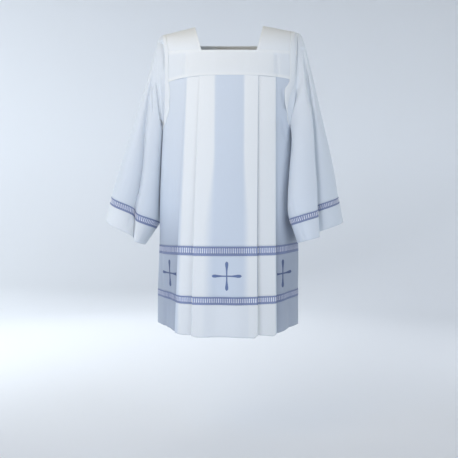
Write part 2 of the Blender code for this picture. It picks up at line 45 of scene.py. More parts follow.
garment = {
    "neckline": {"front": -0.0985, "back": -0.055},
    "bandBottom": {"front": -0.1825, "back": -0.135},
    "bandDroop": {"right": 0.026, "left": 0.015},  # lower at the armholes than in the middle
    "underarm": -0.36,
    "upperLace": (-0.748, -0.7785), "lowerLace": (-0.9145, -0.9405), "hem": -1.0415,
    "neckHalfTop": 0.1166, "neckHalfBottom": 0.0915,
    "roundness": 2.3,  # of the torso's oval: 2 is an ellipse, more is squarer
    "riseFrom": 0.6,  # the share of the half width where the hem lines start to rise
    # lower down the sides fall flatter, from this share of the half width out to the seam
    "flatFrom": 0.66, "flatEndSlope": 4.0, "flatMost": 0.85, "flatHeights": (-0.75, -0.42),
}
chestLine = garment["neckline"]["front"]

# the torso: height, right half, left half, front, back, and the share where the armhole cuts it
torsoRows = np.array([
    (-0.0985, 0.2346, 0.2476, 0.112, 0.108, 0.925),
    (-0.18, 0.2328, 0.2457, 0.118, 0.114, 0.932),
    (-0.26, 0.2309, 0.2382, 0.119, 0.1155, 0.955),
    (-0.32, 0.2296, 0.2286, 0.12, 0.1165, 0.98),
    (-0.36, 0.23, 0.222, 0.1205, 0.117, 1.0),
    (-0.45, 0.2335, 0.222, 0.1215, 0.1185, 1.0),
    (-0.6, 0.2395, 0.2285, 0.125, 0.122, 1.0),
    (-0.7, 0.2405, 0.235, 0.128, 0.125, 1.0),
    (-0.748, 0.2415, 0.2395, 0.13, 0.127, 1.0),
    (-0.9145, 0.2475, 0.241, 0.1355, 0.1325, 1.0),
    (-1.0415, 0.2485, 0.2415, 0.14, 0.137, 1.0),
])

# the shoulders: height of the ridge at the neck and at the tip, and the tip from the middle
shoulders = {"right": (-0.0075, -0.0345, 0.227), "left": (-0.003, -0.024, 0.23)}

# the pleats' stack: height, distance between layers, rise of the hem lines at each side seam
stackRows = np.array([
    (-0.12, 0.0011, 0.0, 0.0),
    (-0.1825, 0.0012, 0.0, 0.0),
    (-0.36, 0.0023, 0.0, 0.0),
    (-0.748, 0.0048, -0.004, 0.005),
    (-0.9145, 0.0068, 0.009, 0.01),
    (-1.0415, 0.0084, 0.022, 0.016),
])

# knife pleats folded away from the middle: each edge from the middle, at four heights
pleatHeights = np.array([-0.1825, -0.36, -0.66, -1.0415])
pleats = {
    ("front", "right"): {"fold1": (0.0968, 0.102, 0.112, 0.114),
                         "under1": (0.044, 0.045, 0.046, 0.048),
                         "fold2": (0.142, 0.15, 0.164, 0.1745),
                         "under2": (0.08, 0.083, 0.089, 0.095)},
    ("front", "left"): {"fold1": (0.097, 0.0938, 0.0902, 0.087),
                        "under1": (0.048, 0.047, 0.044, 0.04),
                        "fold2": (0.155, 0.1545, 0.153, 0.151),
                        "under2": (0.086, 0.083, 0.079, 0.072)},
    ("back", "right"): {"fold1": (0.1, 0.101, 0.102, 0.104),
                        "under1": (0.046, 0.046, 0.047, 0.047),
                        "fold2": (0.15, 0.152, 0.156, 0.16),
                        "under2": (0.084, 0.085, 0.086, 0.088)},
    ("back", "left"): {"fold1": (0.102, 0.101, 0.1, 0.098),
                       "under1": (0.048, 0.047, 0.046, 0.044),
                       "fold2": (0.151, 0.152, 0.154, 0.157),
                       "under2": (0.086, 0.085, 0.084, 0.083)},
}

# each sleeve's rings: outer x and z, inner x and z, outer y, inner y, half depth, the share of the
# way across where its front is folded, and how far that front spills inwards over the body
sleeveRings = {
    "right": [
        (0.2375, -0.0425, 0.2305, -0.363, 0.0, 0.001, 0.053, 0.2, 0.0),
        (0.245, -0.06, 0.2315, -0.366, 0.0, 0.002, 0.054, 0.2, 0.002),
        (0.259, -0.109, 0.2325, -0.376, 0.0, 0.005, 0.055, 0.2, 0.006),
        (0.276, -0.174, 0.2335, -0.392, -0.001, 0.01, 0.056, 0.22, 0.012),
        (0.3105, -0.282, 0.235, -0.44, -0.003, 0.018, 0.058, 0.355, 0.013),
        (0.359, -0.431, 0.235, -0.532, -0.005, 0.03, 0.061, 0.5, 0.009),
        (0.382, -0.503, 0.237, -0.6, -0.006, 0.036, 0.063, 0.515, 0.006),
        (0.4055, -0.584, 0.243, -0.676, -0.007, 0.042, 0.065, 0.505, 0.002),
        (0.411, -0.607, 0.256, -0.698, -0.007, 0.04, 0.066, 0.56, 0.0),
        (0.4265, -0.665, 0.294, -0.754, -0.008, 0.03, 0.07, 0.74, 0.0),
    ],
    "left": [
        (0.246, -0.033, 0.2228, -0.363, 0.0, -0.003, 0.053, 0.2, 0.01),
        (0.257, -0.058, 0.2235, -0.366, 0.0, -0.006, 0.054, 0.2, 0.014),
        (0.266, -0.0895, 0.223, -0.376, -0.001, -0.016, 0.055, 0.22, 0.018),
        (0.287, -0.174, 0.22, -0.392, -0.003, -0.034, 0.056, 0.255, 0.018),
        (0.312, -0.282, 0.212, -0.438, -0.006, -0.06, 0.057, 0.315, 0.011),
        (0.3474, -0.431, 0.203, -0.528, -0.01, -0.08, 0.06, 0.426, 0.006),
        (0.362, -0.5, 0.199, -0.582, -0.013, -0.088, 0.062, 0.45, 0.004),
        (0.376, -0.585, 0.203, -0.659, -0.016, -0.09, 0.064, 0.494, 0.001),
        (0.3805, -0.605, 0.211, -0.681, -0.016, -0.09, 0.065, 0.52, 0.0),
        (0.3933, -0.67, 0.2316, -0.74, -0.018, -0.088, 0.068, 0.61, 0.0),
    ],
}

# a hanging sleeve's outline: share of the cloth, share of the way across, off the line between
hangRows = {
    ("right", "front"): [
        (0.0, 0.0, 0.0), (0.07, 0.045, 0.5), (0.16, 0.15, 0.86), (0.27, 0.3, 1.0),
        (0.35, 0.4, 0.97), (0.41, 0.455, 0.88), (0.47, 0.49, 0.76), (0.52, 0.505, 0.7),
        (0.57, 0.52, 0.78), (0.62, 0.545, 0.92), (0.68, 0.6, 1.02), (0.78, 0.74, 1.0),
        (0.88, 0.88, 0.76), (0.95, 0.965, 0.42), (1.0, 1.0, 0.0),
    ],
    ("left", "front"): [
        (0.0, 0.0, 0.0), (0.07, 0.045, 0.45), (0.16, 0.15, 0.74), (0.26, 0.28, 0.86),
        (0.34, 0.38, 0.84), (0.41, 0.46, 0.72), (0.47, 0.53, 0.6), (0.51, 0.56, 0.68),
        (0.55, 0.525, 0.84), (0.59, 0.478, 1.0), (0.63, 0.48, 1.14), (0.69, 0.56, 1.2),
        (0.78, 0.72, 1.1), (0.88, 0.87, 0.8), (0.95, 0.965, 0.42), (1.0, 1.0, 0.0),
    ],
    ("right", "back"): [
        (0.0, 0.0, 0.0), (0.08, 0.045, 0.5), (0.2, 0.16, 0.88), (0.33, 0.31, 1.0),
        (0.44, 0.43, 0.86), (0.52, 0.51, 0.74), (0.6, 0.59, 0.84), (0.71, 0.72, 0.98),
        (0.84, 0.86, 0.82), (0.94, 0.96, 0.45), (1.0, 1.0, 0.0),
    ],
    ("left", "back"): [
        (0.0, 0.0, 0.0), (0.08, 0.045, 0.52), (0.2, 0.16, 0.92), (0.32, 0.3, 1.02),
        (0.43, 0.42, 0.9), (0.52, 0.51, 0.78), (0.61, 0.6, 0.86), (0.72, 0.72, 0.96),
        (0.84, 0.86, 0.76), (0.94, 0.96, 0.42), (1.0, 1.0, 0.0),
    ],
}
hangFold = {"right": (0.52, 0.505), "left": (0.57, 0.505)}  # cloth and across of the fold there
# how much of the hanging fold has come, ring by ring
foldGrowth = (0.0, 0.0, 0.25, 0.5, 0.75, 0.95, 1.0, 1.0, 1.0, 1.0)

sides = ("right", "left")
sideSign = {"right": -1, "left": 1}
sideColumn = {"right": 0, "left": 1}  # which of a table's two columns belongs to a side
faceWay = {"front": -1, "back": 1}


# small helpers

def blend(a, b, share):
    return a + (b - a) * share


def smooth(low, high, at):
    share = np.clip((at - low) / (high - low), 0.0, 1.0)
    return share * share * (3 - 2 * share)


def alongTable(keys, values, at):  # a smooth line through a table's rows
    keys, values = np.asarray(keys, float), np.asarray(values, float)
    if keys[0] > keys[-1]:
        keys, values = keys[::-1], values[::-1]
    slope = np.gradient(values, keys, axis=0)
    at = np.clip(np.asarray(at, float), keys[0], keys[-1])
    low = np.clip(np.searchsorted(keys, at, side="right") - 1, 0, len(keys) - 2)
    step = keys[low + 1] - keys[low]
    share = (at - keys[low]) / step
    extra = (1,) * (values.ndim - 1)
    share, step = (a.reshape(a.shape + extra) for a in (np.asarray(share), np.asarray(step)))
    square, cube = share ** 2, share ** 3
    return (values[low] * (2 * cube - 3 * square + 1)
            + slope[low] * step * (cube - 2 * square + share)
            + values[low + 1] * (3 * square - 2 * cube) + slope[low + 1] * step * (cube - square))


def columnAt(table, column, at):  # one column of a table whose first column is the key
    return alongTable(table[:, 0], table[:, column], at)


def gaps(points, axis=0):  # the distances between neighbours along rows or columns
    return np.linalg.norm(np.diff(points, axis=axis), axis=-1)


def summed(steps):
    return np.concatenate([[0], np.cumsum(steps)])


def hexColour(text):  # sRGB hex to the linear colour that shaders take
    parts = [int(text[i:i + 2], 16) / 255 for i in (1, 3, 5)]
    linear = [c / 12.92 if c <= 0.04045 else ((c + 0.055) / 1.055) ** 2.4 for c in parts]
    return (*linear, 1.0)


# folds pressed or hung into the cloth, placed on each face. Each row: how far it stands out
# (or in, if negative), its width towards -x and towards +x, over what length it fades in at its
# top and out at its bottom, and where it runs (x and z), all in metres
bodyFolds = {
    "front": [
        (-0.004, (0.008, 0.003), (0.02, 0.02),
         [(0.177, -0.215), (0.1815, -0.238), (0.1865, -0.262), (0.1955, -0.3)]),
        (-0.004, (0.009, 0.004), (0.04, 0.02), [(0.178, -0.31), (0.186, -0.355), (0.196, -0.4)]),
        (-0.0045, (0.026, 0.03), (0.2, 0.0), [(-0.033, -0.7), (-0.04, -0.9), (-0.042, -1.04)]),
        (0.0035, (0.03, 0.026), (0.15, 0.0), [(0.02, -0.78), (0.028, -0.9), (0.034, -1.04)]),
        (-0.006, (0.016, 0.012), (0.15, 0.0), [(-0.195, -0.78), (-0.201, -0.9), (-0.205, -1.04)]),
        (-0.005, (0.014, 0.016), (0.15, 0.0), [(0.198, -0.82), (0.203, -0.93), (0.208, -1.04)]),
        (-0.0022, (0.012, 0.01), (0.08, 0.08), [(-0.188, -0.4), (-0.19, -0.56), (-0.193, -0.7)]),
        (-0.0032, (0.0045, 0.0038), (0.05, 0.0), [(-0.2165, -0.93), (-0.2195, -1.04)]),
        (-0.0024, (0.004, 0.0045), (0.03, 0.04), [(-0.232, -0.755), (-0.229, -0.93)]),
        (-0.0026, (0.005, 0.0042), (0.05, 0.0), [(0.21, -0.95), (0.212, -1.04)]),
        (0.002, (0.01, 0.012), (0.08, 0.08), [(0.176, -0.48), (0.174, -0.6), (0.177, -0.74)]),
    ],
    "back": [
        (-0.003, (0.007, 0.004), (0.03, 0.02), [(0.182, -0.215), (0.186, -0.28), (0.196, -0.345)]),
        (-0.0035, (0.004, 0.009), (0.04, 0.02),
         [(-0.179, -0.33), (-0.188, -0.38), (-0.205, -0.44)]),
        (-0.003, (0.0042, 0.005), (0.06, 0.0), [(0.218, -0.9), (0.215, -1.04)]),
        (-0.0028, (0.005, 0.0042), (0.04, 0.0), [(-0.214, -0.96), (-0.218, -1.04)]),
        (-0.005, (0.028, 0.028), (0.2, 0.0), [(0.03, -0.68), (0.038, -0.88), (0.036, -1.04)]),
        (0.0035, (0.028, 0.024), (0.15, 0.0), [(-0.028, -0.76), (-0.034, -0.9), (-0.04, -1.04)]),
        (-0.0055, (0.014, 0.014), (0.15, 0.0), [(0.2, -0.8), (0.206, -0.93), (0.21, -1.04)]),
        (-0.0052, (0.015, 0.014), (0.15, 0.0), [(-0.196, -0.79), (-0.201, -0.92), (-0.208, -1.04)]),
    ],
}


def reliefOf(folds, x, z):
    total = np.zeros_like(x)
    for out, widths, (startFade, endFade), path in folds:
        path = np.array(path)
        across = x - alongTable(path[:, 1], path[:, 0], z)
        top, bottom = path[0, 1], path[-1, 1]
        here = 1 - smooth(top - startFade, top, z)
        if endFade:
            here = here * smooth(bottom, bottom + endFade, z)
        total += out * here * np.exp(-(across / np.where(across < 0, *widths)) ** 2)
    return total


# the torso's oval and the pleated body on it

bodySettings = {
    "wall": 0.0006, "hemWall": 0.0011,  # the hem is turned up, so it is thicker
    "panelRows": 96, "crossRows": 26, "hemRows": 20,
    "sideColumns": 36,  # between the last pleat and the armhole or side seam
    "turnSteps": 5, "turnBulge": 0.45,  # of a pleat's edge; the bulge in distances between layers
    "underBand": 0.009,  # how far the panel reaches up behind the yoke
    "hemPly": 0.88,  # how dense the doubled hem looks, up to just around its last fold
    "hemPlyEnd": (0.012, 0.008),
}


def torsoSizes(face, x, z):
    half = np.where(x < 0, columnAt(torsoRows, 1, z), columnAt(torsoRows, 2, z))
    return half, columnAt(torsoRows, 3 if face == "front" else 4, z)


def oval(share):  # how far the plain oval stands out at a share of its half width, and its fall
    power = garment["roundness"]
    left = np.maximum(1 - share ** power, 1e-7)
    return left ** (1 / power), share ** (power - 1) * left ** (1 / power - 1)


def sideFall(share, z):  # as oval, with the flatter sides of the skirt
    out, fall = oval(share)
    begin, slope = garment["flatFrom"], garment["flatEndSlope"]
    flatness = garment["flatMost"] * (1 - smooth(*garment["flatHeights"], z)) * (share > begin)
    start, startFall = oval(np.array(begin))
    width = 1 - begin
    t = np.clip((share - begin) / width, 0, 1)
    flatOut = (start * (1 + 2 * t) * (1 - t) ** 2 - startFall * width * t * (1 - t) ** 2
               + slope * width * t ** 2 * (1 - t))
    flatFall = (start * 6 * t * (1 - t) / width + startFall * (1 - t) * (1 - 3 * t)
                - slope * t * (2 - 3 * t))
    return blend(out, flatOut, flatness), blend(fall, flatFall, flatness)


def torsoPoints(face, x, z, offset):  # x is signed; the offset is square to the surface
    half, depth = torsoSizes(face, x, z)
    out, fall = sideFall(np.clip(np.abs(x) / half, 0.0, 1.0), z)
    length = np.hypot(depth * fall, half)
    y = depth * out + offset * half / length
    return np.stack([x + np.sign(x) * offset * depth * fall / length, faceWay[face] * y, z], -1)


def edgeShare(z):
    return columnAt(torsoRows, 5, z)


def pleatEdge(face, side, name, z):
    if name == "middle":
        return np.zeros_like(z)
    return alongTable(pleatHeights, pleats[(face, side)][name], z)


def stretch(start, end, layer, count):
    return [(start, end, i / count, layer, 0.0) for i in range(count)]


def turn(edge, layer, way):  # half a circle down to the layer below
    angles = [math.pi * i / bodySettings["turnSteps"] for i in range(bodySettings["turnSteps"])]
    return [(edge, edge, 0.0, layer - 0.5 + 0.5 * math.cos(a),
             way * bodySettings["turnBulge"] * math.sin(a)) for a in angles]


# one half's cloth from the middle to the last fold: edges, share between them, layer, and how far
# past the edge a turn stands
halfColumns = (
    stretch("middle", "under1", 4, 12) + stretch("under1", "fold1", 4, 14)
    + turn("fold1", 4, 1) + stretch("fold1", "under1", 3, 6)
    + turn("under1", 3, -1) + stretch("under1", "fold1", 2, 6) + stretch("fold1", "fold2", 2, 14)
    + turn("fold2", 2, 1) + stretch("fold2", "under2", 1, 7)
    + turn("under2", 1, -1) + stretch("under2", "fold2", 0, 8)
)
halfCount = len(halfColumns) + bodySettings["sideColumns"] + 1


def halfBody(face, side, z):  # z holds one height for each row and column of this half
    x, layer = np.zeros((len(z), halfCount)), np.zeros((len(z), halfCount))
    spacing = columnAt(stackRows, 1, z)
    for c, (start, end, share, level, bulge) in enumerate(halfColumns):
        near, far = (pleatEdge(face, side, edge, z[:, c]) for edge in (start, end))
        x[:, c] = blend(near, far, share) + bulge * spacing[:, c]
        layer[:, c] = level
    power = garment["roundness"] / 2
    beside = z[:, len(halfColumns):]
    half, _ = torsoSizes(face, np.full_like(beside, sideSign[side]), beside)
    startAngle = np.arccos((pleatEdge(face, side, "fold2", beside) / half) ** power)
    endAngle = np.arccos(np.clip(edgeShare(beside), 0, 1) ** power)
    share = np.arange(bodySettings["sideColumns"] + 1) / bodySettings["sideColumns"]
    x[:, len(halfColumns):] = half * np.cos(blend(startAngle, endAngle, share)) ** (1 / power)
    return sideSign[side] * x, layer, spacing


def raiseSides(points, side, x, z):  # the lines across the skirt rise towards the side seams
    half, _ = torsoSizes("front", x, z)
    rise = columnAt(stackRows, 2 + sideColumn[side], z)
    points[..., 2] += rise * smooth(garment["riseFrom"], 1.0, np.abs(x) / half)


def bodyGrid(face, top, bottom, rows, underYoke=0):  # underYoke is 1 for the panel, else 0
    halves = []
    for side in sides:
        droop = underYoke * garment["bandDroop"][side]
        under = underYoke * bodySettings["underBand"]
        rough = np.full((1, halfCount), top + under)
        x, _, _ = halfBody(face, side, rough)
        half, _ = torsoSizes(face, x, rough)
        topLine = top - droop * (np.abs(x) / half) ** 3 + under
        z = blend(topLine, bottom, np.linspace(0, 1, rows + 1)[:, None])
        x, layer, spacing = halfBody(face, side, z)
        offset = layer * spacing * (1 - rolledEdge(face, side, x, z))
        points = torsoPoints(face, x, z, offset + reliefOf(bodyFolds[face], x, z))
        raiseSides(points, side, x, z)
        halves.append((points, plyShare(face, side, x, layer, z)))
    return [np.concatenate([right[:, :0:-1], left], 1) for right, left in zip(*halves)]


# the outer pleat's edge is pressed flat or, where it is rolled, bends down over some millimetres:
# share of the stack, and the width of the bend at the top and at the hem
pleatRoll = {("front", "right"): (0.42, 0.006, 0.016), ("front", "left"): (0.1, 0.003, 0.004),
             ("back", "right"): (0.15, 0.004, 0.006), ("back", "left"): (0.3, 0.005, 0.012)}
# painted shade along the turned edge of the inner and of the outer pleat: a thin dark line where
# shadow falls at the edge, low where it is pressed sharp
edgeShadeTones = {("front", "right"): (0.8, 0.45), ("front", "left"): (0.0, 0.45),
             ("back", "right"): (0.4, 0.5), ("back", "left"): (0.5, 0.9)}


def rolledEdge(face, side, x, z):
    share, top, bottom = pleatRoll[(face, side)]
    bandBottom = garment["bandBottom"]["front"]
    down = np.clip((z - bandBottom) / (garment["hem"] - bandBottom), 0, 1)
    edge = pleatEdge(face, side, "fold2", z)
    return share * smooth(edge - blend(top, bottom, down), edge, np.abs(x))


plyAndShadeSettings = {
    "middle": 0.4,  # how dense one layer looks over the middle
    # it gets denser from just inside the inner fold to this far outside it, and each side adds
    # some more of it lower down, between these heights
    "spreadStart": 0.002, "spread": 0.006, "sideSpread": {"right": 0.036, "left": 0.02},
    "spreadHeights": (-0.72, -0.42),
    "lastFold": (0.001, 0.002),  # the stack ends from inside to outside its last fold
    "rolledShade": 1.3,  # painted shade: how much darker a rolled edge is painted, partly for fewer layers behind
}
# and beside the pleats, painted shade, darker lower down and on the left side, away from the
# light, partly the dark inside showing through: height, right side, left side
sideShadeTones = np.array([(-0.18, 0.55, 0.35), (-0.45, 0.5, 0.35), (-0.6, 0.4, 0.3), (-0.8, 0.15, 0.1),
                      (-1.04, 0.16, 0.15)])


def plyShare(face, side, x, layer, z):  # how dense the cloth looks, 1 where more layers lie behind, with painted shade beside the pleats, on a rolled edge and along the turned edges
    s = plyAndShadeSettings
    away = np.abs(x)
    under = pleatEdge(face, side, "under1", z)
    beyond = pleatEdge(face, side, "fold2", z)
    spread = s["spread"] + s["sideSpread"][side] * (1 - smooth(*s["spreadHeights"], z))
    middle = smooth(under - s["spreadStart"], under + spread, away)
    edge = 1 - smooth(beyond - s["lastFold"][0], beyond + s["lastFold"][1], away)
    # the stack's layers go from 4, on top, down to 0, and the turned edges lie between them
    onTop, atBottom = layer > 3.4, layer < 0.4
    # beside the pleats the side tones paint shade
    single = np.where(onTop, s["middle"], columnAt(sideShadeTones, 1 + sideColumn[side], z))
    stacked = np.where(onTop, middle, np.where(atBottom, edge * (away < beyond), 1.0))
    share = blend(single, 1.0, stacked)
    inner, outer = edgeShadeTones[(face, side)]
    # painted shade on the rolled part of the outer pleat's edge
    share = share - s["rolledShade"] * rolledEdge(face, side, x, z) * ((layer > 1.01) & (layer < 2.01))
    # painted shade: the turned edges of the pleats take the edge tones, a thin dark line
    share = np.where((layer > 3.01) & (layer < 3.99), inner, share)
    return np.where((layer > 1.01) & (layer < 1.99), outer, share)


# making meshes

def closing(grid, closed):  # the first column once more at the end of a closed grid
    return np.concatenate([grid, grid[:, :1]], 1) if closed else grid


def gridFaces(rows, cols, closed, first=0):
    index = closing(np.arange(rows * cols).reshape(rows, cols), closed) + first
    quads = np.stack([index[:-1, :-1], index[:-1, 1:], index[1:, 1:], index[1:, :-1]], -1)
    return quads.reshape(-1, 4)


def meshOf(name, points, faces):
    mesh = bpy.data.meshes.new(name)
    mesh.from_pydata(np.asarray(points).reshape(-1, 3).tolist(), [], faces)
    mesh.shade_smooth()
    made = bpy.data.objects.new(name, mesh)
    bpy.context.scene.collection.objects.link(made)
    return made


def gridMesh(name, grid, closed, flip):
    rows, cols = grid.shape[:2]
    made = meshOf(name, grid, gridFaces(rows, cols, closed)[:, ::-1 if flip else 1].tolist())
    mesh = made.data
    # the UV map is in metres of cloth: u round the rows, v down them
    u, v = summed(gaps(closing(grid, closed), 1).mean(0)), summed(gaps(grid).mean(1))
    corners = np.empty(len(mesh.loops), int)
    mesh.loops.foreach_get("vertex_index", corners)
    rowOf, colOf = corners // cols, corners % cols
    if closed:  # the last faces end at the full width and not back at zero
        byFace = colOf.reshape(-1, 4)
        wraps = (byFace.max(1) == cols - 1) & (byFace.min(1) == 0)
        byFace[wraps] = np.where(byFace[wraps] == 0, cols, byFace[wraps])
        colOf = byFace.reshape(-1)
    layer = mesh.uv_layers.new(name="clothMetres")
    layer.data.foreach_set("uv", np.stack([u[colOf], v[rowOf]], -1).astype(np.float32).ravel())
    return made


def setShare(piece, values):
    attribute = piece.data.attributes.new("plyShare", "FLOAT", "POINT")
    attribute.data.foreach_set("value", np.asarray(values, np.float32).ravel())


def dress(piece, node, material):
    piece.data.materials.append(material)
    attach(piece, "root")
    if node:
        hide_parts(node)
    return piece


def makeSheet(name, node, material, grid, share, wall, closed, flip):
    piece = gridMesh(name, grid, closed, flip)
    setShare(piece, share)
    solid = piece.modifiers.new("wall", "SOLIDIFY")
    solid.thickness = wall
    solid.offset = 0.0
    solid.use_even_offset = True
    solid.use_quality_normals = True
    return dress(piece, node, material)


def makeCloth(name, node, grid, share, wall, closed=False, flip=False):
    makeSheet(name, node, cloth, grid, share, wall, closed, flip)


# materials

def addNode(tree, kind, settings, links):  # a node with its settings and links
    made = tree.nodes.new(kind)
    for key, value in settings.items():
        if key == "stops":
            elements = made.color_ramp.elements
            for position, _ in value[2:]:
                elements.new(position)
            for element, (position, colour) in zip(elements, value):
                element.position, element.color = position, hexColour(colour)
        elif key in made.inputs:
            made.inputs[key].default_value = value
        else:
            setattr(made, key, value)
    for socket, source in links.items():
        tree.links.new(source, made.inputs[socket])
    return made


def newMaterial(name, colour, roughness, sheen):
    made = bpy.data.materials.new(name)
    made.use_nodes = True
    shader = made.node_tree.nodes["Principled BSDF"]
    for socket, value in {"Base Color": hexColour(colour), "Roughness": roughness,
                          "Specular IOR Level": 0.3, "Sheen Weight": sheen,
                          "Sheen Roughness": 0.5}.items():
        shader.inputs[socket].default_value = value
    return made, made.node_tree, shader


def shadeThread(tree, shader, tones, speckle, height, strength):  # what cloth and thread share
    # where few layers lie behind, the dark inside shows through; low values are also painted shade
    share = addNode(tree, "ShaderNodeAttribute", {"attribute_name": "plyShare"}, {})
    tone = addNode(tree, "ShaderNodeValToRGB", {"stops": tones}, {"Fac": share.outputs["Fac"]})
    graded = addNode(tree, "ShaderNodeHueSaturation", {}, {"Color": tone.outputs["Color"],
                                                           "Value": speckle.outputs["Result"]})
    bump = addNode(tree, "ShaderNodeBump", {"Strength": strength, "Distance": 0.0002},
                   {"Height": height})
    tree.links.new(graded.outputs["Color"], shader.inputs["Base Color"])
    tree.links.new(bump.outputs["Normal"], shader.inputs["Normal"])


clothLook = {
    "shadedThin": "#8E97A8",  # painted shade: one layer in shade, where the dark inside of the skirt also shows through
    "sheer": "#CFD9E4",  # one layer in the light: thin enough to look bluish
    "dense": "#E9EDEE",  # layers over one another
    # between the weave's ripples: real threads are 0.25 mm apart, too fine to show, so the ripples
    # stand for some twenty threads
    "rippleMm": 5.655,
    "slubMm": (1.5, 18.0),  # across and along the thick places in its threads
    "roughness": 0.72, "sheen": 0.12, "bump": 0.25,
}
threadLook = {
    "twistsPerMm": 0.9,  # as in a two-ply sewing thread
    "sheen": 0.2, "bump": 0.4,
}


def wovenPolyester(name):  # plain weave, spun polyester: matt with a faint grain
    s = clothLook
    made, tree, shader = newMaterial(name, s["dense"], s["roughness"], s["sheen"])
    uv = addNode(tree, "ShaderNodeUVMap", {"uv_map": "clothMetres"}, {})
    slubScale = (1000 / s["slubMm"][0], 1000 / s["slubMm"][1], 1.0)
    place = addNode(tree, "ShaderNodeMapping", {"Scale": slubScale}, {"Vector": uv.outputs["UV"]})
    slub = addNode(tree, "ShaderNodeTexNoise", {"Scale": 1.0, "Detail": 3.0, "Roughness": 0.6},
                   {"Vector": place.outputs["Vector"]})
    speckle = addNode(tree, "ShaderNodeMapRange", {"To Min": 0.975, "To Max": 1.02},
                      {"Value": slub.outputs["Fac"]})
    rippleScale = 2 * math.pi * 1000 / s["rippleMm"] / 20  # at scale 1 a wave is 2 pi / 20 long
    waves = [addNode(tree, "ShaderNodeTexWave",
                     {"wave_type": "BANDS", "bands_direction": direction, "Distortion": 0.6,
                      "Scale": rippleScale, "Detail": 1.0},
                     {"Vector": uv.outputs["UV"]}) for direction in ("X", "Y")]
    weave = addNode(tree, "ShaderNodeMath", {"operation": "MULTIPLY"},
                    {0: waves[0].outputs["Fac"], 1: waves[1].outputs["Fac"]})
    both = addNode(tree, "ShaderNodeMath", {"operation": "ADD"},
                   {0: weave.outputs["Value"], 1: slub.outputs["Fac"]})
    # the ramp's low end is painted shade as well as fewer layers
    shadeThread(tree, shader, [(0.0, s["shadedThin"]), (0.4, s["sheer"]), (1.0, s["dense"])], speckle,
                both.outputs["Value"], s["bump"])
    return made


def spunThread(name, colour, roughness, single):  # fine twist, soft shine
    s = threadLook
    made, tree, shader = newMaterial(name, colour, roughness, s["sheen"])
    place = addNode(tree, "ShaderNodeTexCoord", {}, {})
    noise = addNode(tree, "ShaderNodeTexNoise",
                    {"Scale": 1000 * s["twistsPerMm"], "Detail": 2.0},
                    {"Vector": place.outputs["Object"]})
    tones = addNode(tree, "ShaderNodeMapRange", {"To Min": 0.86, "To Max": 1.12},
                    {"Value": noise.outputs["Fac"]})
    shadeThread(tree, shader, [(0.0, single), (1.0, colour)], tones, noise.outputs["Fac"],
                s["bump"])
    return made


# the colours are those of thread over more layers and of thread with nothing behind it
cloth = wovenPolyester("wovenPolyester")
laceGround = spunThread("laceNetGround", "#9BA8CA", 0.7, "#757F9F")  # knotted net: a matt haze
laceBorder = spunThread("laceBorderThread", "#8A97B9", 0.6, "#6B7695")  # stitched cord: dark lines
ladderThread = spunThread("whiteLadderThread", "#FAFBFD", 0.6, "#A9B1C6")  # bleached: bright bars
crossThread = spunThread("satinStitchThread", "#687BA4", 0.45, "#475477")  # long stitches: a sheen

# the pleated body

# how much lower each layer's hem hangs, at distances from the middle: the pleats end in steps
hemDrops = {
    ("front", "right"): [(0.0, 0.0045), (0.114, 0.0065), (0.1175, 0.0025), (0.1745, 0.0035),
                         (0.2485, 0.0045)],
    ("front", "left"): [(0.0, 0.0045), (0.087, 0.009), (0.0905, 0.001), (0.151, 0.008),
                        (0.156, 0.003), (0.2415, 0.0042)],
    ("back", "right"): [(0.0, 0.005), (0.104, 0.007), (0.1075, 0.002), (0.16, 0.006),
                        (0.2485, 0.0045)],
    ("back", "left"): [(0.0, 0.005), (0.098, 0.006), (0.1015, 0.0015), (0.157, 0.0045),
                       (0.2415, 0.0042)],
}


def hangHem(face, grid):
    x, z = grid[..., 0], grid[..., 2].copy()
    down = np.linspace(0, 1, len(grid))[:, None]
    for side in sides:
        table = np.array(hemDrops[(face, side)])
        drop = down * np.interp(np.abs(x), table[:, 0], table[:, 1])
        z -= np.where((x < 0) == (side == "right"), drop, 0)
    return np.stack([x, grid[..., 1], z], -1)


def makeBody(face):
    s, flip = bodySettings, face == "front"
    grid, share = bodyGrid(face, garment["bandBottom"][face], garment["upperLace"][0],
                           s["panelRows"], 1)
    makeCloth(face + "Panel", face + "_panel", grid, share, s["wall"], flip=flip)
    grid, share = bodyGrid(face, garment["upperLace"][1], garment["lowerLace"][0], s["crossRows"])
    makeCloth(face + "CrossBand", face + "_cross_band", grid, share, s["wall"], flip=flip)
    grid, share = bodyGrid(face, garment["lowerLace"][1], garment["hem"], s["hemRows"])
    grid = hangHem(face, grid)
    x, z = grid[..., 0], grid[..., 2]
    lastFold = np.where(x < 0, *(pleatEdge(face, side, "fold2", z) for side in sides))
    fromIn, toOut = s["hemPlyEnd"]
    doubled = s["hemPly"] * (1 - smooth(lastFold - fromIn, lastFold + toOut, np.abs(x)))
    makeCloth(face + "HemBand", face + "_hem_band", grid, np.maximum(share, doubled), s["hemWall"],
              flip=flip)


for face in faceWay:
    makeBody(face)
print("body done")

# lace: a net ground, two stitched borders and a ladder of white bars

laceSettings = {
    "rows": 10, "wall": 0.0006,
    "pitch": 0.0073,  # between bars
    "barTop": 0.19, "barBottom": 0.74,  # shares of the band's height
    "barHalf": 0.0015, "barOut": 0.0009, "barSides": 6, "barRaise": 0.4,
    # share of a bar's length and how thick it is there
    "barShape": [(0.0, 0.7), (0.12, 0.95), (0.32, 0.8), (0.6, 0.85), (0.88, 1.05), (1.0, 0.75)],
    "lean": 0.0004, "weights": (0.82, 1.18),  # hand-guided thread is never even
    "borders": [(0.0, 0.22), (0.71, 1.0)],
    "toothMm": 3.4, "toothDeep": 0.06,  # of the lower border's edge; depth as a share of the height
    "cordOut": 0.0007, "twist": 0.28,
    # share of a border's height and how far its two cords stand out there
    "cordShape": [(0.0, -0.3), (0.08, 0.55), (0.22, 1.0), (0.36, 0.5), (0.5, 0.4), (0.64, 0.5),
                  (0.78, 1.0), (0.92, 0.55), (1.0, -0.3)],
}


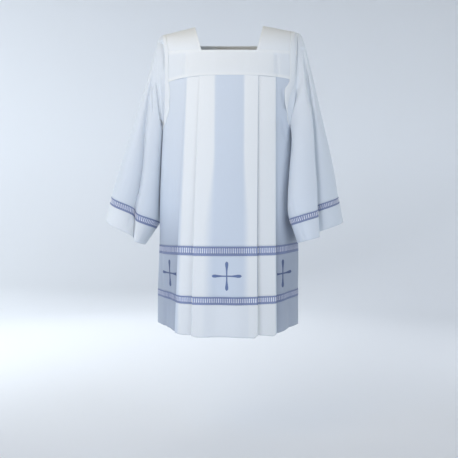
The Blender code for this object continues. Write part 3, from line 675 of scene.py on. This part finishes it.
def sampleGrid(grid, row, col, closed):
    rows, cols = grid.shape[:2]
    r = np.clip(np.floor(row).astype(int), 0, rows - 2)
    c = np.floor(col).astype(int)
    if not closed:
        c = np.clip(c, 0, cols - 2)
    downShare, alongShare = (row - r)[..., None], (col - c)[..., None]
    here, ahead = c % cols, (c + 1) % cols
    upper, lower = (blend(grid[k, here], grid[k, ahead], alongShare) for k in (r, r + 1))
    return blend(upper, lower, downShare)


def gridNormals(grid, closed, flip):
    wide = np.concatenate([grid[:, -1:], grid, grid[:, :1]], 1) if closed else grid
    around = np.gradient(wide, axis=1)
    if closed:
        around = around[:, 1:-1]
    normal = np.cross(around, np.gradient(grid, axis=0))
    normal /= np.linalg.norm(normal, axis=2, keepdims=True) + 1e-12
    return -normal if flip else normal


def evenColumns(grid, closed, pitch, offset):
    middle = closing(grid, closed)[len(grid) // 2]
    passed = summed(gaps(middle))
    count = max(int(round(passed[-1] / pitch)), 1)
    targets = (np.arange(count) + offset) * passed[-1] / count
    return np.interp(targets, passed, np.arange(len(passed)))


def ladderBars(name, grid, plies, closed, flip):
    s = laceSettings
    normals = gridNormals(grid, closed, flip)
    col = evenColumns(grid, closed, s["pitch"], 0.5)
    seed = np.random.default_rng(7)
    lean = seed.uniform(-1.0, 1.0, len(col)) * s["lean"]
    weight = seed.uniform(*s["weights"], len(col))[:, None]
    rings, shown = [], []
    for share, thick in s["barShape"]:
        row = blend(s["barTop"], s["barBottom"], share) * (len(grid) - 1) * np.ones_like(col)
        out = sampleGrid(normals, row, col, closed)
        # the way along the row, from a fifth of a column to either side
        ahead = sampleGrid(grid, row, col + 0.2, closed) - sampleGrid(grid, row, col - 0.2, closed)
        ahead /= np.linalg.norm(ahead, axis=1, keepdims=True) + 1e-12
        point = sampleGrid(grid, row, col, closed) + ahead * (lean * (1 - 2 * share))[:, None]
        shown += [sampleGrid(plies[..., None], row, col, closed)[:, 0]] * s["barSides"]
        for k in range(s["barSides"]):
            angle = 2 * math.pi * k / s["barSides"]
            lift = s["wall"] / 2 + s["barOut"] * s["barRaise"] + s["barOut"] * math.sin(angle)
            rings.append(point + ahead * (thick * s["barHalf"]) * weight * math.cos(angle)
                         + out * lift)
    faces, size = [], len(rings)  # every bar is a closed tube with two caps
    for first in range(0, size * len(col), size):
        faces += gridFaces(size // s["barSides"], s["barSides"], True, first).tolist()
        faces += [list(range(first, first + s["barSides"]))[::-1],
                  list(range(first + size - s["barSides"], first + size))]
    made = meshOf(name, np.stack(rings, 1), faces)
    setShare(made, np.stack(shown, 1))
    return made


def laceBorders(name, grid, plies, closed, flip):
    s = laceSettings
    normals = gridNormals(grid, closed, flip)
    col = evenColumns(grid, closed, s["toothMm"] / 1000 / 3, 0.0)  # three columns a tooth
    if not closed:
        col = np.append(col, grid.shape[1] - 1.001)  # and the edge of the last column
    points, faces, shown = [], [], []
    phase = np.arange(len(col)) * 2 * math.pi / 3
    lastRow, rowCount = len(grid) - 1, len(s["cordShape"])
    for top, bottom in s["borders"]:
        toothed = s["toothDeep"] * np.abs(np.sin(phase / 2)) if bottom == 1.0 else 0
        for share, height in s["cordShape"]:
            row = blend(top, bottom + toothed, share) * lastRow * np.ones_like(col)
            onGrid = np.clip(row, 0, lastRow)
            past = np.clip(row - lastRow, 0, None)[:, None]
            point = sampleGrid(grid, onGrid, col, closed) + past * (grid[-1] - grid[-2]).mean(0)
            slant = 3 * share if share < 0.5 else -3 * share
            ripple = 1 + s["twist"] * np.sin(phase + slant) if height > 0 else 1
            lift = s["wall"] / 2 + s["cordOut"] * height * ripple
            out = sampleGrid(normals, onGrid, col, closed)
            points.append(point + out * np.reshape(lift, (-1, 1)))
            shown.append(sampleGrid(plies[..., None], onGrid, col, closed)[:, 0])
        quads = gridFaces(rowCount, len(col), closed, (len(points) - rowCount) * len(col))
        faces += quads[:, ::-1 if flip else 1].tolist()
    made = meshOf(name, np.concatenate(points), faces)
    setShare(made, np.concatenate(shown))
    return made


def makeLace(name, node, grid, plies, closed, flip):
    ground = makeSheet(name + "Ground", node, laceGround, grid, plies,
                       laceSettings["wall"], closed, flip)
    bars = ladderBars(name + "Ladder", grid, plies, closed, flip)
    dress(bars, None, ladderThread)
    borders = laceBorders(name + "Borders", grid, plies, closed, flip)
    dress(borders, None, laceBorder)


for face in faceWay:
    for title in ("Upper", "Lower"):
        grid, share = bodyGrid(face, *garment[title.lower() + "Lace"], laceSettings["rows"])
        # the lace takes the body's density and painted shade, softened
        makeLace(face + "Lace" + title, face + "_lace_" + title.lower(), grid, np.sqrt(share),
                 False, face == "front")
print("body lace done")

# the yoke: a band across the front and back, and a strap over each shoulder

yoke = {
    "wall": 0.0011,
    "swell": 0.0052,  # how far a band's bottom stands out over the pleats
    "least": 0.001,
    "swellFrom": 0.12, "swellTo": 0.2,
    "overlap": 0.002,  # a band's top edge over the strap
    "overlapOut": 0.0008, "overlapFade": 0.15,
    "neckColumns": 30, "strapColumns": 34, "rows": 26, "strapRows": 64,
    # the line of stitches along a folded edge, and the edge's own roll: place, width and height
    "stitches": (0.0045, 0.0011, -0.00035), "edgeRoll": (0.0018, 0.0016, 0.0003),
    # rows lie closer near an edge: shares of the whole
    "fine": (0, 0.01, 0.022, 0.036, 0.052, 0.07, 0.095),
    # how dense the bands look beside and over the pleats, the straps, and where the edge fades;
    # below 1 also painted shade, greyer where less light reaches the top
    "ply": (0.8, 0.12), "strapPlyAndShade": 0.9, "edgePly": (0.006, 0.011), "strapEdgePly": (0.004, 0.008),
    "pleated": (0.143, 0.149),  # how far from the middle the pleats under the band end
}

yokeFolds = {
    "front": [
        (-0.0028, (0.004, 0.009), (0.02, 0.0), [(-0.144, -0.1), (-0.1465, -0.14), (-0.147, -0.19)]),
        (-0.0028, (0.009, 0.004), (0.02, 0.0), [(0.162, -0.1), (0.163, -0.15), (0.165, -0.19)]),
        (-0.0007, (0.01, 0.008), (0.02, 0.03), [(0.058, -0.1), (0.054, -0.14), (0.05, -0.185)]),
        (-0.0006, (0.008, 0.012), (0.02, 0.03),
         [(-0.062, -0.105), (-0.06, -0.14), (-0.059, -0.185)]),
    ],
    "back": [
        (-0.0015, (0.004, 0.009), (0.02, 0.0), [(-0.15, -0.06), (-0.152, -0.1), (-0.15, -0.145)]),
        (-0.0015, (0.008, 0.004), (0.02, 0.0), [(0.156, -0.06), (0.154, -0.1), (0.156, -0.145)]),
        (-0.0007, (0.01, 0.008), (0.02, 0.03), [(0.045, -0.07), (0.048, -0.14)]),
    ],
}


def ridge(side, share):
    return blend(*shoulders[side][:2], share)


def armX(face, side, z):  # the body's edge at the armhole
    half, _ = torsoSizes(face, sideSign[side] * np.ones_like(z), z)
    return half * edgeShare(z)


def shoulderPoints(face, side, share, rise):  # share from neck to armhole, rise from chest to ridge
    chest = np.full_like(share, chestLine)
    chestArm = armX(face, side, chest)
    near = blend(garment["neckHalfBottom"], garment["neckHalfTop"], rise)
    x = blend(near, blend(chestArm, shoulders[side][2], rise), share)
    chestX = blend(garment["neckHalfBottom"], chestArm, share)
    flat = torsoPoints(face, sideSign[side] * chestX, chest, 0.0)
    y = flat[..., 1] * np.sqrt(np.clip(1 - rise * rise, 0, 1))
    return np.stack([sideSign[side] * x, y, blend(chest, ridge(side, share), rise)], -1)


def edgeGroove(distance):
    line, roll = (height * np.exp(-((distance - place) / width) ** 2)
                  for place, width, height in (yoke["stitches"], yoke["edgeRoll"]))
    return line + roll


def closeEnds(count):  # shares of a length, closer together near both ends
    fine = np.array(yoke["fine"])
    middle = np.linspace(fine[-1], 1 - fine[-1], count - 2 * len(fine) + 3)
    return np.concatenate([fine[:-1], middle, 1 - fine[:-1][::-1]])


def bandColumn(face, side, part, share):
    top, bottom = garment["neckline"][face], garment["bandBottom"][face]
    onStrap = part == "strap"
    neck, way = garment["neckHalfBottom"], sideSign[side]
    down, height = closeEnds(yoke["rows"]), top - bottom
    z = blend(top + (yoke["overlap"] if onStrap else 0.0), bottom, down)
    shares = np.full_like(z, share)
    rise = np.clip((z - chestLine) / (ridge(side, share if onStrap else 0.0) - chestLine), 0, 1)
    x = blend(neck, armX(face, side, z), share) if onStrap else shares * neck
    half, _ = torsoSizes(face, way * np.ones_like(z), z)
    lower = z - garment["bandDroop"][side] * down * (x / half) ** 3
    if onStrap:
        upper = shoulderPoints(face, side, shares, rise)
        x = blend(neck, armX(face, side, lower), share)
    else:
        flat = torsoPoints(face, way * shares * neck, np.full_like(z, chestLine), 0.0)
        edge = blend(neck, garment["neckHalfTop"], rise)
        upper = np.stack([way * shares * edge, flat[..., 1] * np.sqrt(1 - rise ** 2), z], -1)
    x = way * x
    overPleats = 1 - smooth(yoke["swellFrom"], yoke["swellTo"], np.abs(x))
    swell = (yoke["least"] + yoke["swell"] * overPleats) * smooth(0.0, 1.0, down)
    offset = swell + reliefOf(yokeFolds[face], x, lower)
    offset = offset + edgeGroove((1 - down) * height) + edgeGroove(down * height)
    if onStrap:
        offset = offset + yoke["overlapOut"] * (1 - smooth(0.0, yoke["overlapFade"], down))
    points = np.where((z > chestLine)[:, None], upper + [0, faceWay[face], 0] * offset[:, None],
                      torsoPoints(face, x, lower, offset))
    near = np.minimum(1 - down, down) * height
    # painted shade: the band is painted greyer than the pleats, more beside them
    least, more = yoke["ply"]  # beside the pleats less lies behind the band
    ply = least + more * (1 - smooth(*yoke["pleated"], np.abs(x)))
    return points, blend(ply, 1.0, 1 - smooth(*yoke["edgePly"], near))


def bandGrid(face):
    half = [("neck", c / yoke["neckColumns"]) for c in range(1, yoke["neckColumns"])]
    half += [("strap", c / yoke["strapColumns"]) for c in range(yoke["strapColumns"] + 1)]
    whole = [("right", *c) for c in half[::-1]] + [("left", *c) for c in [("neck", 0.0)] + half]
    return [np.stack(part, 1) for part in zip(*(bandColumn(face, *column) for column in whole))]


def strapGrid(side):
    share = closeEnds(yoke["strapColumns"])
    columns = []
    turns = np.linspace(0, 1, yoke["strapRows"] + 1)
    for s in share:
        backRise = (garment["neckline"]["back"] - chestLine) / (ridge(side, s) - chestLine)
        angle = blend(-math.pi / 2, math.acos(np.clip(backRise, 0, 1)), turns)
        rise = np.cos(angle)
        front, back = (shoulderPoints(face, side, np.full_like(rise, s), rise) for face in faceWay)
        columns.append(np.where((angle < 0)[:, None], front, back))
    grid = np.stack(columns, 1)
    near = share * gaps(grid, 1).sum(1).mean()
    grid = grid + gridNormals(grid, False, side == "right") * edgeGroove(near)[None, :, None]
    # painted shade: the strap is painted greyer than the pleats
    ply = blend(yoke["strapPlyAndShade"], 1.0, 1 - smooth(*yoke["strapEdgePly"], near))
    return grid, np.tile(ply, (len(grid), 1))


for face in faceWay:
    makeCloth(face + "YokeBand", face + "_yoke_band", *bandGrid(face), yoke["wall"],
              flip=face == "front")
for side in sides:
    makeCloth("yokeStrap" + side.title(), "yoke_strap_" + side, *strapGrid(side), yoke["wall"],
              flip=side == "right")
print("yoke done")

# the sleeves, their lace and their cuffs

sleeve = {
    "wall": 0.0006, "cuffWall": 0.0011,
    "ply": {"right": 0.6, "left": 0.54},  # how dense the cloth looks low down; there the left sleeve is painted darker, painted shade away from the light
    # near the shoulder painted lighter: partly denser cloth, partly painted light
    "topPlyAndLight": {"right": 0.66, "left": 0.72}, "plyAndLightHeights": (-0.5, -0.08), "lapPly": 0.9,
    # the left cuff is painted darker than the right: painted shade
    "lacePly": {"right": 0.8, "left": 0.65}, "cuffPlyAndShade": {"right": 0.85, "left": 0.55},
    "perSegment": 7,  # columns between two rows of the outline
    "rowStep": 0.0055, "laceStep": 0.0035, "cuffStep": 0.0045,
    "fineStep": 0.0018, "fineRows": 26,  # rows lie closer near the seam
    "clearance": 0.0014, "softGap": 0.004,  # between a hanging sleeve and the body
    "clearHeights": (-0.235, -0.195),  # above these it stands clear by itself
    "spillAt": 0.84, "spillWidth": 0.13,  # of the front's cloth, where it spills over the body
    "lapRows": 6,
    # how far the lap stands out over what it lies on: at its edges, more in its middle at the top
    # and lower down, and over the yoke
    "lapOut": 0.0007, "lapSwell": (0.0003, 0.0011), "swellHeights": (-0.12, -0.22),
    "overYoke": (0.0005, 0.0009), "yokeEdge": (0.026, 0.008),
    "lapDown": 0.005, "lapDownFrom": 0.88,  # under the arm the lap points down
}

# the sleeve's edge is turned in and stitched down over the body as a lap. Height, how far inside
# the armhole's edge the sleeve's seam lies, and the lap's width
lapTables = {
    ("right", "front"): [
        (-0.36, 0.0, 0.0015), (-0.349, 0.0015, 0.006), (-0.336, 0.0025, 0.01),
        (-0.318, 0.003, 0.0135), (-0.289, 0.003, 0.0195), (-0.269, 0.0025, 0.0178),
        (-0.229, 0.002, 0.019), (-0.2, 0.0015, 0.014), (-0.11, 0.001, 0.0135),
        (0.0, 0.0005, 0.0125)],
    ("left", "front"): [
        (-0.36, 0.0, 0.0015), (-0.352, 0.012, 0.0015), (-0.33, 0.025, 0.0015),
        (-0.3, 0.0285, 0.002), (-0.29, 0.029, 0.005), (-0.265, 0.0265, 0.0135),
        (-0.24, 0.02, 0.022), (-0.222, 0.013, 0.028), (-0.205, 0.008, 0.021),
        (-0.18, 0.0065, 0.02), (-0.11, 0.006, 0.0205), (-0.06, 0.006, 0.02),
        (0.0, 0.006, 0.018)],
    ("right", "back"): [
        (-0.36, 0.0, 0.0015), (-0.345, 0.002, 0.015), (-0.3, 0.003, 0.019),
        (-0.23, 0.0025, 0.019), (-0.15, 0.0015, 0.015), (0.0, 0.0005, 0.0125)],
    ("left", "back"): [
        (-0.36, 0.0, 0.0015), (-0.345, 0.004, 0.014), (-0.3, 0.008, 0.018),
        (-0.23, 0.007, 0.02), (-0.15, 0.006, 0.019), (0.0, 0.006, 0.018)],
}

sleeveFolds = {
    ("right", "front"): [
        (-0.0065, (0.0026, 0.0024), (0.03, 0.05),
         [(-0.25, -0.1843), (-0.2434, -0.2312), (-0.236, -0.295), (-0.2304, -0.3421)]),
        (-0.0062, (0.0032, 0.003), (0.03, 0.04),
         [(-0.2618, -0.1943), (-0.2605, -0.2681), (-0.2591, -0.3186)]),
        (0.003, (0.0028, 0.0026), (0.03, 0.05),
         [(-0.233, -0.1642), (-0.23, -0.2412), (-0.2276, -0.3085), (-0.2252, -0.3725)]),
        (-0.0085, (0.0075, 0.0035), (0.006, 0.04),
         [(-0.2308, -0.0574), (-0.2208, -0.0907), (-0.2159, -0.1307), (-0.2178, -0.1742)]),
        (-0.002, (0.004, 0.006), (0.02, 0.02), [(-0.337, -0.645), (-0.345, -0.7)]),
    ],
    ("left", "front"): [
        (-0.0095, (0.003, 0.0055), (0.004, 0.03),
         [(0.2249, -0.034), (0.2291, -0.064), (0.2293, -0.1074), (0.2262, -0.1575),
          (0.224, -0.191)]),
        (-0.005, (0.011, 0.004), (0.012, 0.03),
         [(0.2528, -0.0773), (0.2615, -0.1408), (0.2704, -0.2178), (0.2752, -0.2916)]),
        (0.005, (0.006, 0.007), (0.05, 0.05),
         [(0.223, -0.205), (0.219, -0.23), (0.2125, -0.297), (0.2055, -0.365), (0.205, -0.42)]),
        (-0.0025, (0.0035, 0.004), (0.02, 0.02),
         [(0.205, -0.585), (0.211, -0.62), (0.2316, -0.6765)]),
        (-0.0025, (0.004, 0.005), (0.02, 0.0), [(0.235, -0.655), (0.238, -0.69), (0.253, -0.7345)]),
    ],
    ("right", "back"): [
        (-0.003, (0.0035, 0.0035), (0.03, 0.03), [(-0.25, -0.15), (-0.247, -0.2), (-0.24, -0.3)]),
        (-0.0055, (0.008, 0.005), (0.05, 0.08),
         [(-0.265, -0.15), (-0.278, -0.26), (-0.29, -0.4), (-0.308, -0.56)]),
        (0.0045, (0.006, 0.009), (0.08, 0.06),
         [(-0.295, -0.3), (-0.318, -0.42), (-0.342, -0.54), (-0.365, -0.64)]),
        (-0.004, (0.005, 0.006), (0.06, 0.06), [(-0.256, -0.42), (-0.26, -0.52), (-0.27, -0.64)]),
    ],
    ("left", "back"): [
        (-0.0025, (0.003, 0.003), (0.01, 0.03), [(0.238, -0.045), (0.242, -0.07), (0.234, -0.15)]),
        (-0.0055, (0.004, 0.009), (0.04, 0.1),
         [(0.262, -0.08), (0.274, -0.24), (0.288, -0.4), (0.3, -0.54)]),
        (0.0045, (0.008, 0.006), (0.08, 0.06),
         [(0.292, -0.26), (0.31, -0.4), (0.33, -0.54), (0.346, -0.65)]),
        (-0.004, (0.006, 0.005), (0.06, 0.08), [(0.248, -0.33), (0.252, -0.46), (0.262, -0.6)]),
    ],
}


def lapPoint(face, side, share, lap):  # lap runs from 0 at its inner edge to 1 at the seam
    s, bandBottom = sleeve, garment["bandBottom"][face]
    z = blend(shoulders[side][1], garment["underarm"], (1 - math.cos(math.pi * share)) / 2)
    table = np.array(lapTables[(side, face)])
    seamIn, width = alongTable(table[:, 0], table[:, 1:], z)
    z = z - s["lapDown"] * (1 - lap) * smooth(s["lapDownFrom"], 1.0, share)
    inward = seamIn + (1 - lap) * width
    swell = blend(*s["lapSwell"], smooth(*s["swellHeights"], z))
    out = s["lapOut"] + swell * math.sin(math.pi * lap) ** 0.7
    overYoke = s["overYoke"][0] + s["overYoke"][1] * (1 - smooth(bandBottom, chestLine, z))
    out += overYoke * smooth(*(bandBottom - edge for edge in s["yokeEdge"]), z)
    if z > chestLine:
        rise = (z - chestLine) / (ridge(side, 1.0) - chestLine)
        wide = armX(face, side, np.array(chestLine)) - garment["neckHalfBottom"]
        point = shoulderPoints(face, side, np.array(1 - inward / wide), np.array(rise))
        # square to the shoulder's curve, 0.09 deep and 0.07 high here
        normal = np.array([0, faceWay[face] * math.sqrt(max(1 - rise ** 2, 0)) / 0.09, rise / 0.07])
        return point + normal / np.linalg.norm(normal) * out
    z = np.array(z)
    return torsoPoints(face, sideSign[side] * (armX(face, side, z) - inward), z, out)


def outOfBody(side, points, away):  # moves points straight out until they clear the torso
    x, y, z = points[..., 0], points[..., 1], points[..., 2]
    signed = sideSign[side] * np.maximum(np.abs(x), 1e-4)
    half, frontDepth = torsoSizes("front", signed, z)
    _, backDepth = torsoSizes("back", signed, z)
    depth = np.where(y < 0, frontDepth, backDepth)
    # halving this range finds the multiple of a point's x and y at which it meets the torso
    low, high = np.zeros_like(x), np.full_like(x, 4.0)
    for _ in range(26):
        middle = (low + high) / 2
        share = np.abs(x) * middle / half
        out, _ = sideFall(np.clip(share, 0, 1), z)
        inside = (share < 1) & (out * depth > np.abs(y) * middle)
        low, high = np.where(inside, middle, low), np.where(inside, high, middle)
    length, soft = np.hypot(x, y), sleeve["softGap"]
    # past the body's surface the push fades in softly, so that no edge is left
    gap = (1 - (low + away / length)) * length
    push = np.where(gap < -soft, -gap, np.where(gap > soft, 0.0, (soft - gap) ** 2 / (4 * soft)))
    scale = 1 + push / length
    return np.stack([x * scale, y * scale, z], -1)


def moved(value, old, new):  # a share stretched so that the old place of a fold comes to the new
    return value * new / old if value < old else 1 - (1 - value) * (1 - new) / (1 - old)


def hangPoint(side, face, ring, share):
    outerX, outerZ, innerX, innerZ, outerY, innerY, depth, fold, spill = sleeveRings[side][ring]
    table = np.array(hangRows[(side, face)])
    grown = foldGrowth[ring]
    hungAcross, hungOff = (np.interp(share, table[:, 0], table[:, c]) for c in (1, 2))
    over = 0.0
    if face == "front":
        oldShare, oldAcross = hangFold[side]
        over = spill * math.exp(-((share - sleeve["spillAt"]) / sleeve["spillWidth"]) ** 2)
        plainFold = math.acos(1 - 2 * fold) / math.pi
        share = moved(share, oldShare, blend(plainFold, fold, grown))
        hungAcross = moved(hungAcross, oldAcross, fold)
    across = blend((1 - math.cos(math.pi * share)) / 2, hungAcross, grown)
    off = blend(math.sin(math.pi * share) ** 0.8, hungOff, grown)
    x = blend(outerX, innerX, across) - over
    y = blend(outerY, innerY, across) + faceWay[face] * off * depth
    z = blend(outerZ, innerZ, blend(across, share, grown))
    return np.array([sideSign[side] * x, y, z])


def roundRing(ring):  # a closed smooth line through a ring's points
    count, extra = len(ring), 3
    wide = np.concatenate([ring[-extra:], ring, ring[:extra + 1]])
    keys = summed(gaps(wide) ** 0.5 + 1e-6)
    parts = np.arange(sleeve["perSegment"]) / sleeve["perSegment"]
    at = np.concatenate([blend(keys[i], keys[i + 1], parts) for i in range(extra, extra + count)])
    return alongTable(keys, wide, at)


def sleeveGrid(side):
    front = [("front", row[0]) for row in hangRows[(side, "front")]]
    back = [("back", row[0]) for row in hangRows[(side, "back")]]
    columns = front + back[-2:0:-1]
    # the seam's points lie level with those of the first ring
    fold = math.acos(1 - 2 * sleeveRings[side][0][7]) / math.pi
    seam = []
    for k, (_, share) in enumerate(columns):
        for part in np.arange(sleeve["perSegment"]) / sleeve["perSegment"]:
            at = blend(share, columns[(k + 1) % len(columns)][1], part)
            onFront = k < len(front) - 1
            seam.append(("front", moved(at, hangFold[side][0], fold)) if onFront else ("back", at))
    lap = np.stack([np.array([lapPoint(face, side, share, step) for face, share in seam])
                    for step in np.linspace(0, 1, sleeve["lapRows"] + 1)])
    rings = np.stack([lap[-1]] + [
        roundRing(np.array([hangPoint(side, face, ring, share) for face, share in columns]))
        for ring in range(len(sleeveRings[side]))])
    isFront = np.arange(rings.shape[1]) < (len(front) - 1) * sleeve["perSegment"] + 1
    return lap[:-1], rings, summed(gaps(rings).mean(1)), isFront


def hangSleeve(side, rings, keys, isFront, low, high, step, fineRows=0):  # rows from ring to ring
    begin = keys[low] + fineRows * sleeve["fineStep"]
    count = max(int(math.ceil((keys[high] - begin) / step)), 3)
    fine = keys[low] + np.arange(fineRows) * sleeve["fineStep"]
    at = np.concatenate([fine, np.linspace(begin, keys[high], count + 1)])
    grid = alongTable(keys, rings, at)
    x, z = grid[..., 0], grid[..., 2]
    relief = np.where(isFront[None], *(reliefOf(sleeveFolds[(side, face)], x, z)
                                       for face in faceWay))
    pushed = outOfBody(side, grid, sleeve["clearance"])
    clear = 1 - smooth(*sleeve["clearHeights"], z)[..., None]
    return blend(grid, pushed, clear) + gridNormals(grid, True, side == "right") * relief[..., None]


for side in sides:
    s, title, flip = sleeve, side.title(), side == "right"
    lap, *ringed = sleeveGrid(side)
    # the rings are the seam and the rows of sleeveRings, which end with the lace's and the cuff's
    lace = len(ringed[0]) - 3
    hanging = hangSleeve(side, *ringed, 0, lace, s["rowStep"], s["fineRows"])
    hanging[0] = ringed[0][0]
    grid = np.concatenate([lap, hanging])
    # painted light near the shoulder, painted shade low down on the left sleeve
    share = blend(s["ply"][side], s["topPlyAndLight"][side], smooth(*s["plyAndLightHeights"], grid[..., 2]))
    share[:len(lap)] = s["lapPly"]
    makeCloth("sleeve" + title, "sleeve_" + side, grid, share, s["wall"], True, flip)
    grid = hangSleeve(side, *ringed, lace, lace + 1, s["laceStep"])
    share = np.full(grid.shape[:2], s["lacePly"][side])
    makeLace("sleeveLace" + title, "sleeve_lace_" + side, grid, share, True, flip)
    grid = hangSleeve(side, *ringed, lace + 1, lace + 2, s["cuffStep"])
    # painted shade on the left cuff
    share = np.full(grid.shape[:2], s["cuffPlyAndShade"][side])
    makeCloth("cuff" + title, "cuff_" + side, grid, share, s["cuffWall"], True, flip)
print("sleeves done")

# the six crosses in raised satin stitch

crossSettings = {
    "height": -0.8455, "arm": 0.048,
    "stitchMm": 0.9,  # real stitches are 0.4 mm apart; drawn wider so that they show
    "pad": 0.0011, "stitchShare": 0.22,  # how high the padding is, and the stitches' part of it
    "sunk": 0.0002,  # how deep its edges sit in the cloth
    "sideWider": 1.12,  # the outer crosses are a little bolder
    "sidePly": 0.25,
    # the level line along which distances are measured: its ends and how many points
    "line": (-0.245, 0.238, 1200),
    "acrossPoints": 9,
    # each cross from the middle, and the reach of its arm that a pleat partly covers
    "front": {"Right": (-0.203, 0.036), "Centre": (-0.0075, 0.048), "Left": (0.182, 0.025)},
    "back": {"Right": (-0.2, 0.04), "Centre": (0.003, 0.048), "Left": (0.198, 0.04)},
    # share of the arm, half width
    "widths": [(0.0, 0.0024), (0.08, 0.0024), (0.35, 0.0027), (0.62, 0.0044), (0.82, 0.0055),
               (0.94, 0.004), (1.0, 0.0008)],
}


def makeCross(face, place):
    s, centre = crossSettings, place == "Centre"
    middle, covered = s[face][place]
    stitch = s["stitchMm"] / 1000
    lineX = np.linspace(*s["line"])
    line = torsoPoints(face, lineX, np.full_like(lineX, s["height"]), 0.0)
    passed = summed(gaps(line))
    start = np.interp(middle, lineX, passed)
    parts, faces, total = [], [], 0
    across = np.linspace(-1, 1, s["acrossPoints"])
    crown = np.sqrt(np.clip(1 - across ** 2, 0, 1))
    order = (0, 3, 2, 1) if face == "front" else (1, 2, 3, 0)
    for arm in range(4):  # towards +x, up, towards -x and down
        wayX, wayZ = round(math.cos(arm * math.pi / 2)), round(math.sin(arm * math.pi / 2))
        reach = covered if (place, arm) in (("Right", 0), ("Left", 2)) else s["arm"]
        station = np.linspace(0, reach, int(reach / stitch * 4) + 1)[:, None]
        half = columnAt(np.array(s["widths"]), 1, station / s["arm"])
        half = half * (1.0 if centre else s["sideWider"])
        x = np.interp(start + (station * wayX - wayZ * across * half), passed, lineX)
        z = s["height"] + (station * wayZ + wayX * across * half)
        ripple = 0.5 + 0.5 * np.cos(2 * math.pi * station / stitch)
        padding = s["pad"] * crown * (1 - s["stitchShare"] + s["stitchShare"] * ripple)
        out = bodySettings["wall"] / 2 + padding - s["sunk"]
        layer = 4.0 if centre else 0.0
        offset = layer * columnAt(stackRows, 1, z) + out + reliefOf(bodyFolds[face], x, z)
        points = torsoPoints(face, x, z, offset)
        raiseSides(points, "left" if place == "Left" else "right", x, z)
        rows, cols = points.shape[:2]
        faces += gridFaces(rows, cols, False, total)[:, order].tolist()
        parts.append(points.reshape(-1, 3))
        total += rows * cols
    piece = meshOf("cross" + face.title() + place, np.concatenate(parts), faces)
    setShare(piece, np.full(total, 1.0 if centre else s["sidePly"]))
    dress(piece, "cross_" + face + "_" + place.lower(), crossThread)


for face in faceWay:
    for place in ("Right", "Centre", "Left"):
        makeCross(face, place)
print("crosses done")

# the pale studio, the lights and the camera

studio = {
    "floorZ": -1.462,
    "radius": 4.2, "height": 3.4, "cove": 1.2, "coveSteps": 12, "round": 96,
    "paper": "#E9EDF2", "air": "#FAFBFF", "airStrength": 0.14,
    "cameraAt": (0.0, -2.911, -0.5285), "lens": 65.88, "lookDownDeg": 3.34,
}


def makeStudio():
    s = studio
    profile = []
    for i in range(s["coveSteps"] + 1):
        angle = math.pi / 2 * i / s["coveSteps"]
        profile.append((s["radius"] - s["cove"] + s["cove"] * math.sin(angle),
                        s["floorZ"] + s["cove"] - s["cove"] * math.cos(angle)))
    profile.append((s["radius"], s["floorZ"] + s["height"]))
    angles = [2 * math.pi * k / s["round"] for k in range(s["round"])]
    points = [(0.0, 0.0, s["floorZ"])]
    points += [(radius * math.cos(a), radius * math.sin(a), z) for radius, z in profile
               for a in angles]
    faces = [(0, 1 + k, 1 + (k + 1) % s["round"]) for k in range(s["round"])]
    faces += gridFaces(len(profile), s["round"], True, 1)[:, (0, 3, 2, 1)].tolist()
    paper = meshOf("studioPaper", points, faces)
    made, _, _ = newMaterial("studioPaper", s["paper"], 0.9, 0.0)
    paper.data.materials.append(made)


def addLight(name, place, target, size, power, colour):
    data = bpy.data.lights.new(name, "AREA")
    data.shape = "RECTANGLE"
    data.size, data.size_y = size
    data.energy = power
    data.color = hexColour(colour)[:3]
    lamp = bpy.data.objects.new(name, data)
    bpy.context.scene.collection.objects.link(lamp)
    lamp.location = place
    lamp.visible_camera = False
    way = Vector(np.array(target) - np.array(place))
    lamp.rotation_euler = way.to_track_quat("-Z", "Y").to_euler()


makeStudio()
for name, place, target, size, power, colour in (
        ("keyLight", (-1.0, -1.5, 0.0), (0.0, 0.0, -0.38), (0.9, 1.1), 7.9, "#E6F3FF"),
        ("sideLight", (-2.6, -0.8, -0.1), (0.0, 0.0, -0.5), (1.4, 1.4), 15.2, "#F4FAFF"),
        ("fillLight", (1.8, -2.0, 0.15), (0.0, 0.0, -0.42), (1.4, 1.4), 21.4, "#F3F8FF"),
        ("lowLight", (-1.1, -2.2, -1.0), (0.0, 0.0, 0.8), (1.2, 0.5), 7.0, "#A0B6FF"),
        ("topLight", (-0.7, -1.2, 0.35), (0.0, 0.0, -0.25), (0.8, 0.8), 4.5, "#FFDC9A"),
        ("overheadLight", (0.0, 0.2, 1.5), (0.0, 0.0, 0.0), (1.6, 1.6), 5.5, "#FFF8EC"),
        ("edgeLight", (3.0, 0.9, 0.1), (0.0, 0.0, -0.5), (1.6, 1.6), 11.0, "#FAFCFF"),
        ("backLight", (-0.6, 3.0, 0.3), (0.0, 0.0, -0.5), (2.4, 1.8), 26.0, "#FAFCFF"),
        ("wallLightLeft", (-2.4, 0.9, 0.3), (-0.8, 4.2, -0.5), (1.8, 1.8), 50.0, "#FAFEFF"),
        ("wallLightRight", (2.2, 1.0, -0.3), (0.6, 4.2, -0.6), (1.2, 1.2), 8.0, "#F8FBFF")):
    addLight(name, place, target, size, power, colour)

world = bpy.data.worlds.new("studioAir")
world.use_nodes = True
background = world.node_tree.nodes["Background"].inputs
background["Color"].default_value = hexColour(studio["air"])
background["Strength"].default_value = studio["airStrength"]
bpy.context.scene.world = world
bpy.context.scene.view_settings.view_transform = "Standard"

cameraData = bpy.data.cameras.new("camera")
cameraData.lens = studio["lens"]
cameraData.sensor_width = 36.0
camera = bpy.data.objects.new("camera", cameraData)
bpy.context.scene.collection.objects.link(camera)
camera.location = studio["cameraAt"]
camera.rotation_euler = (math.radians(90 - studio["lookDownDeg"]), 0.0, 0.0)
bpy.context.scene.camera = camera
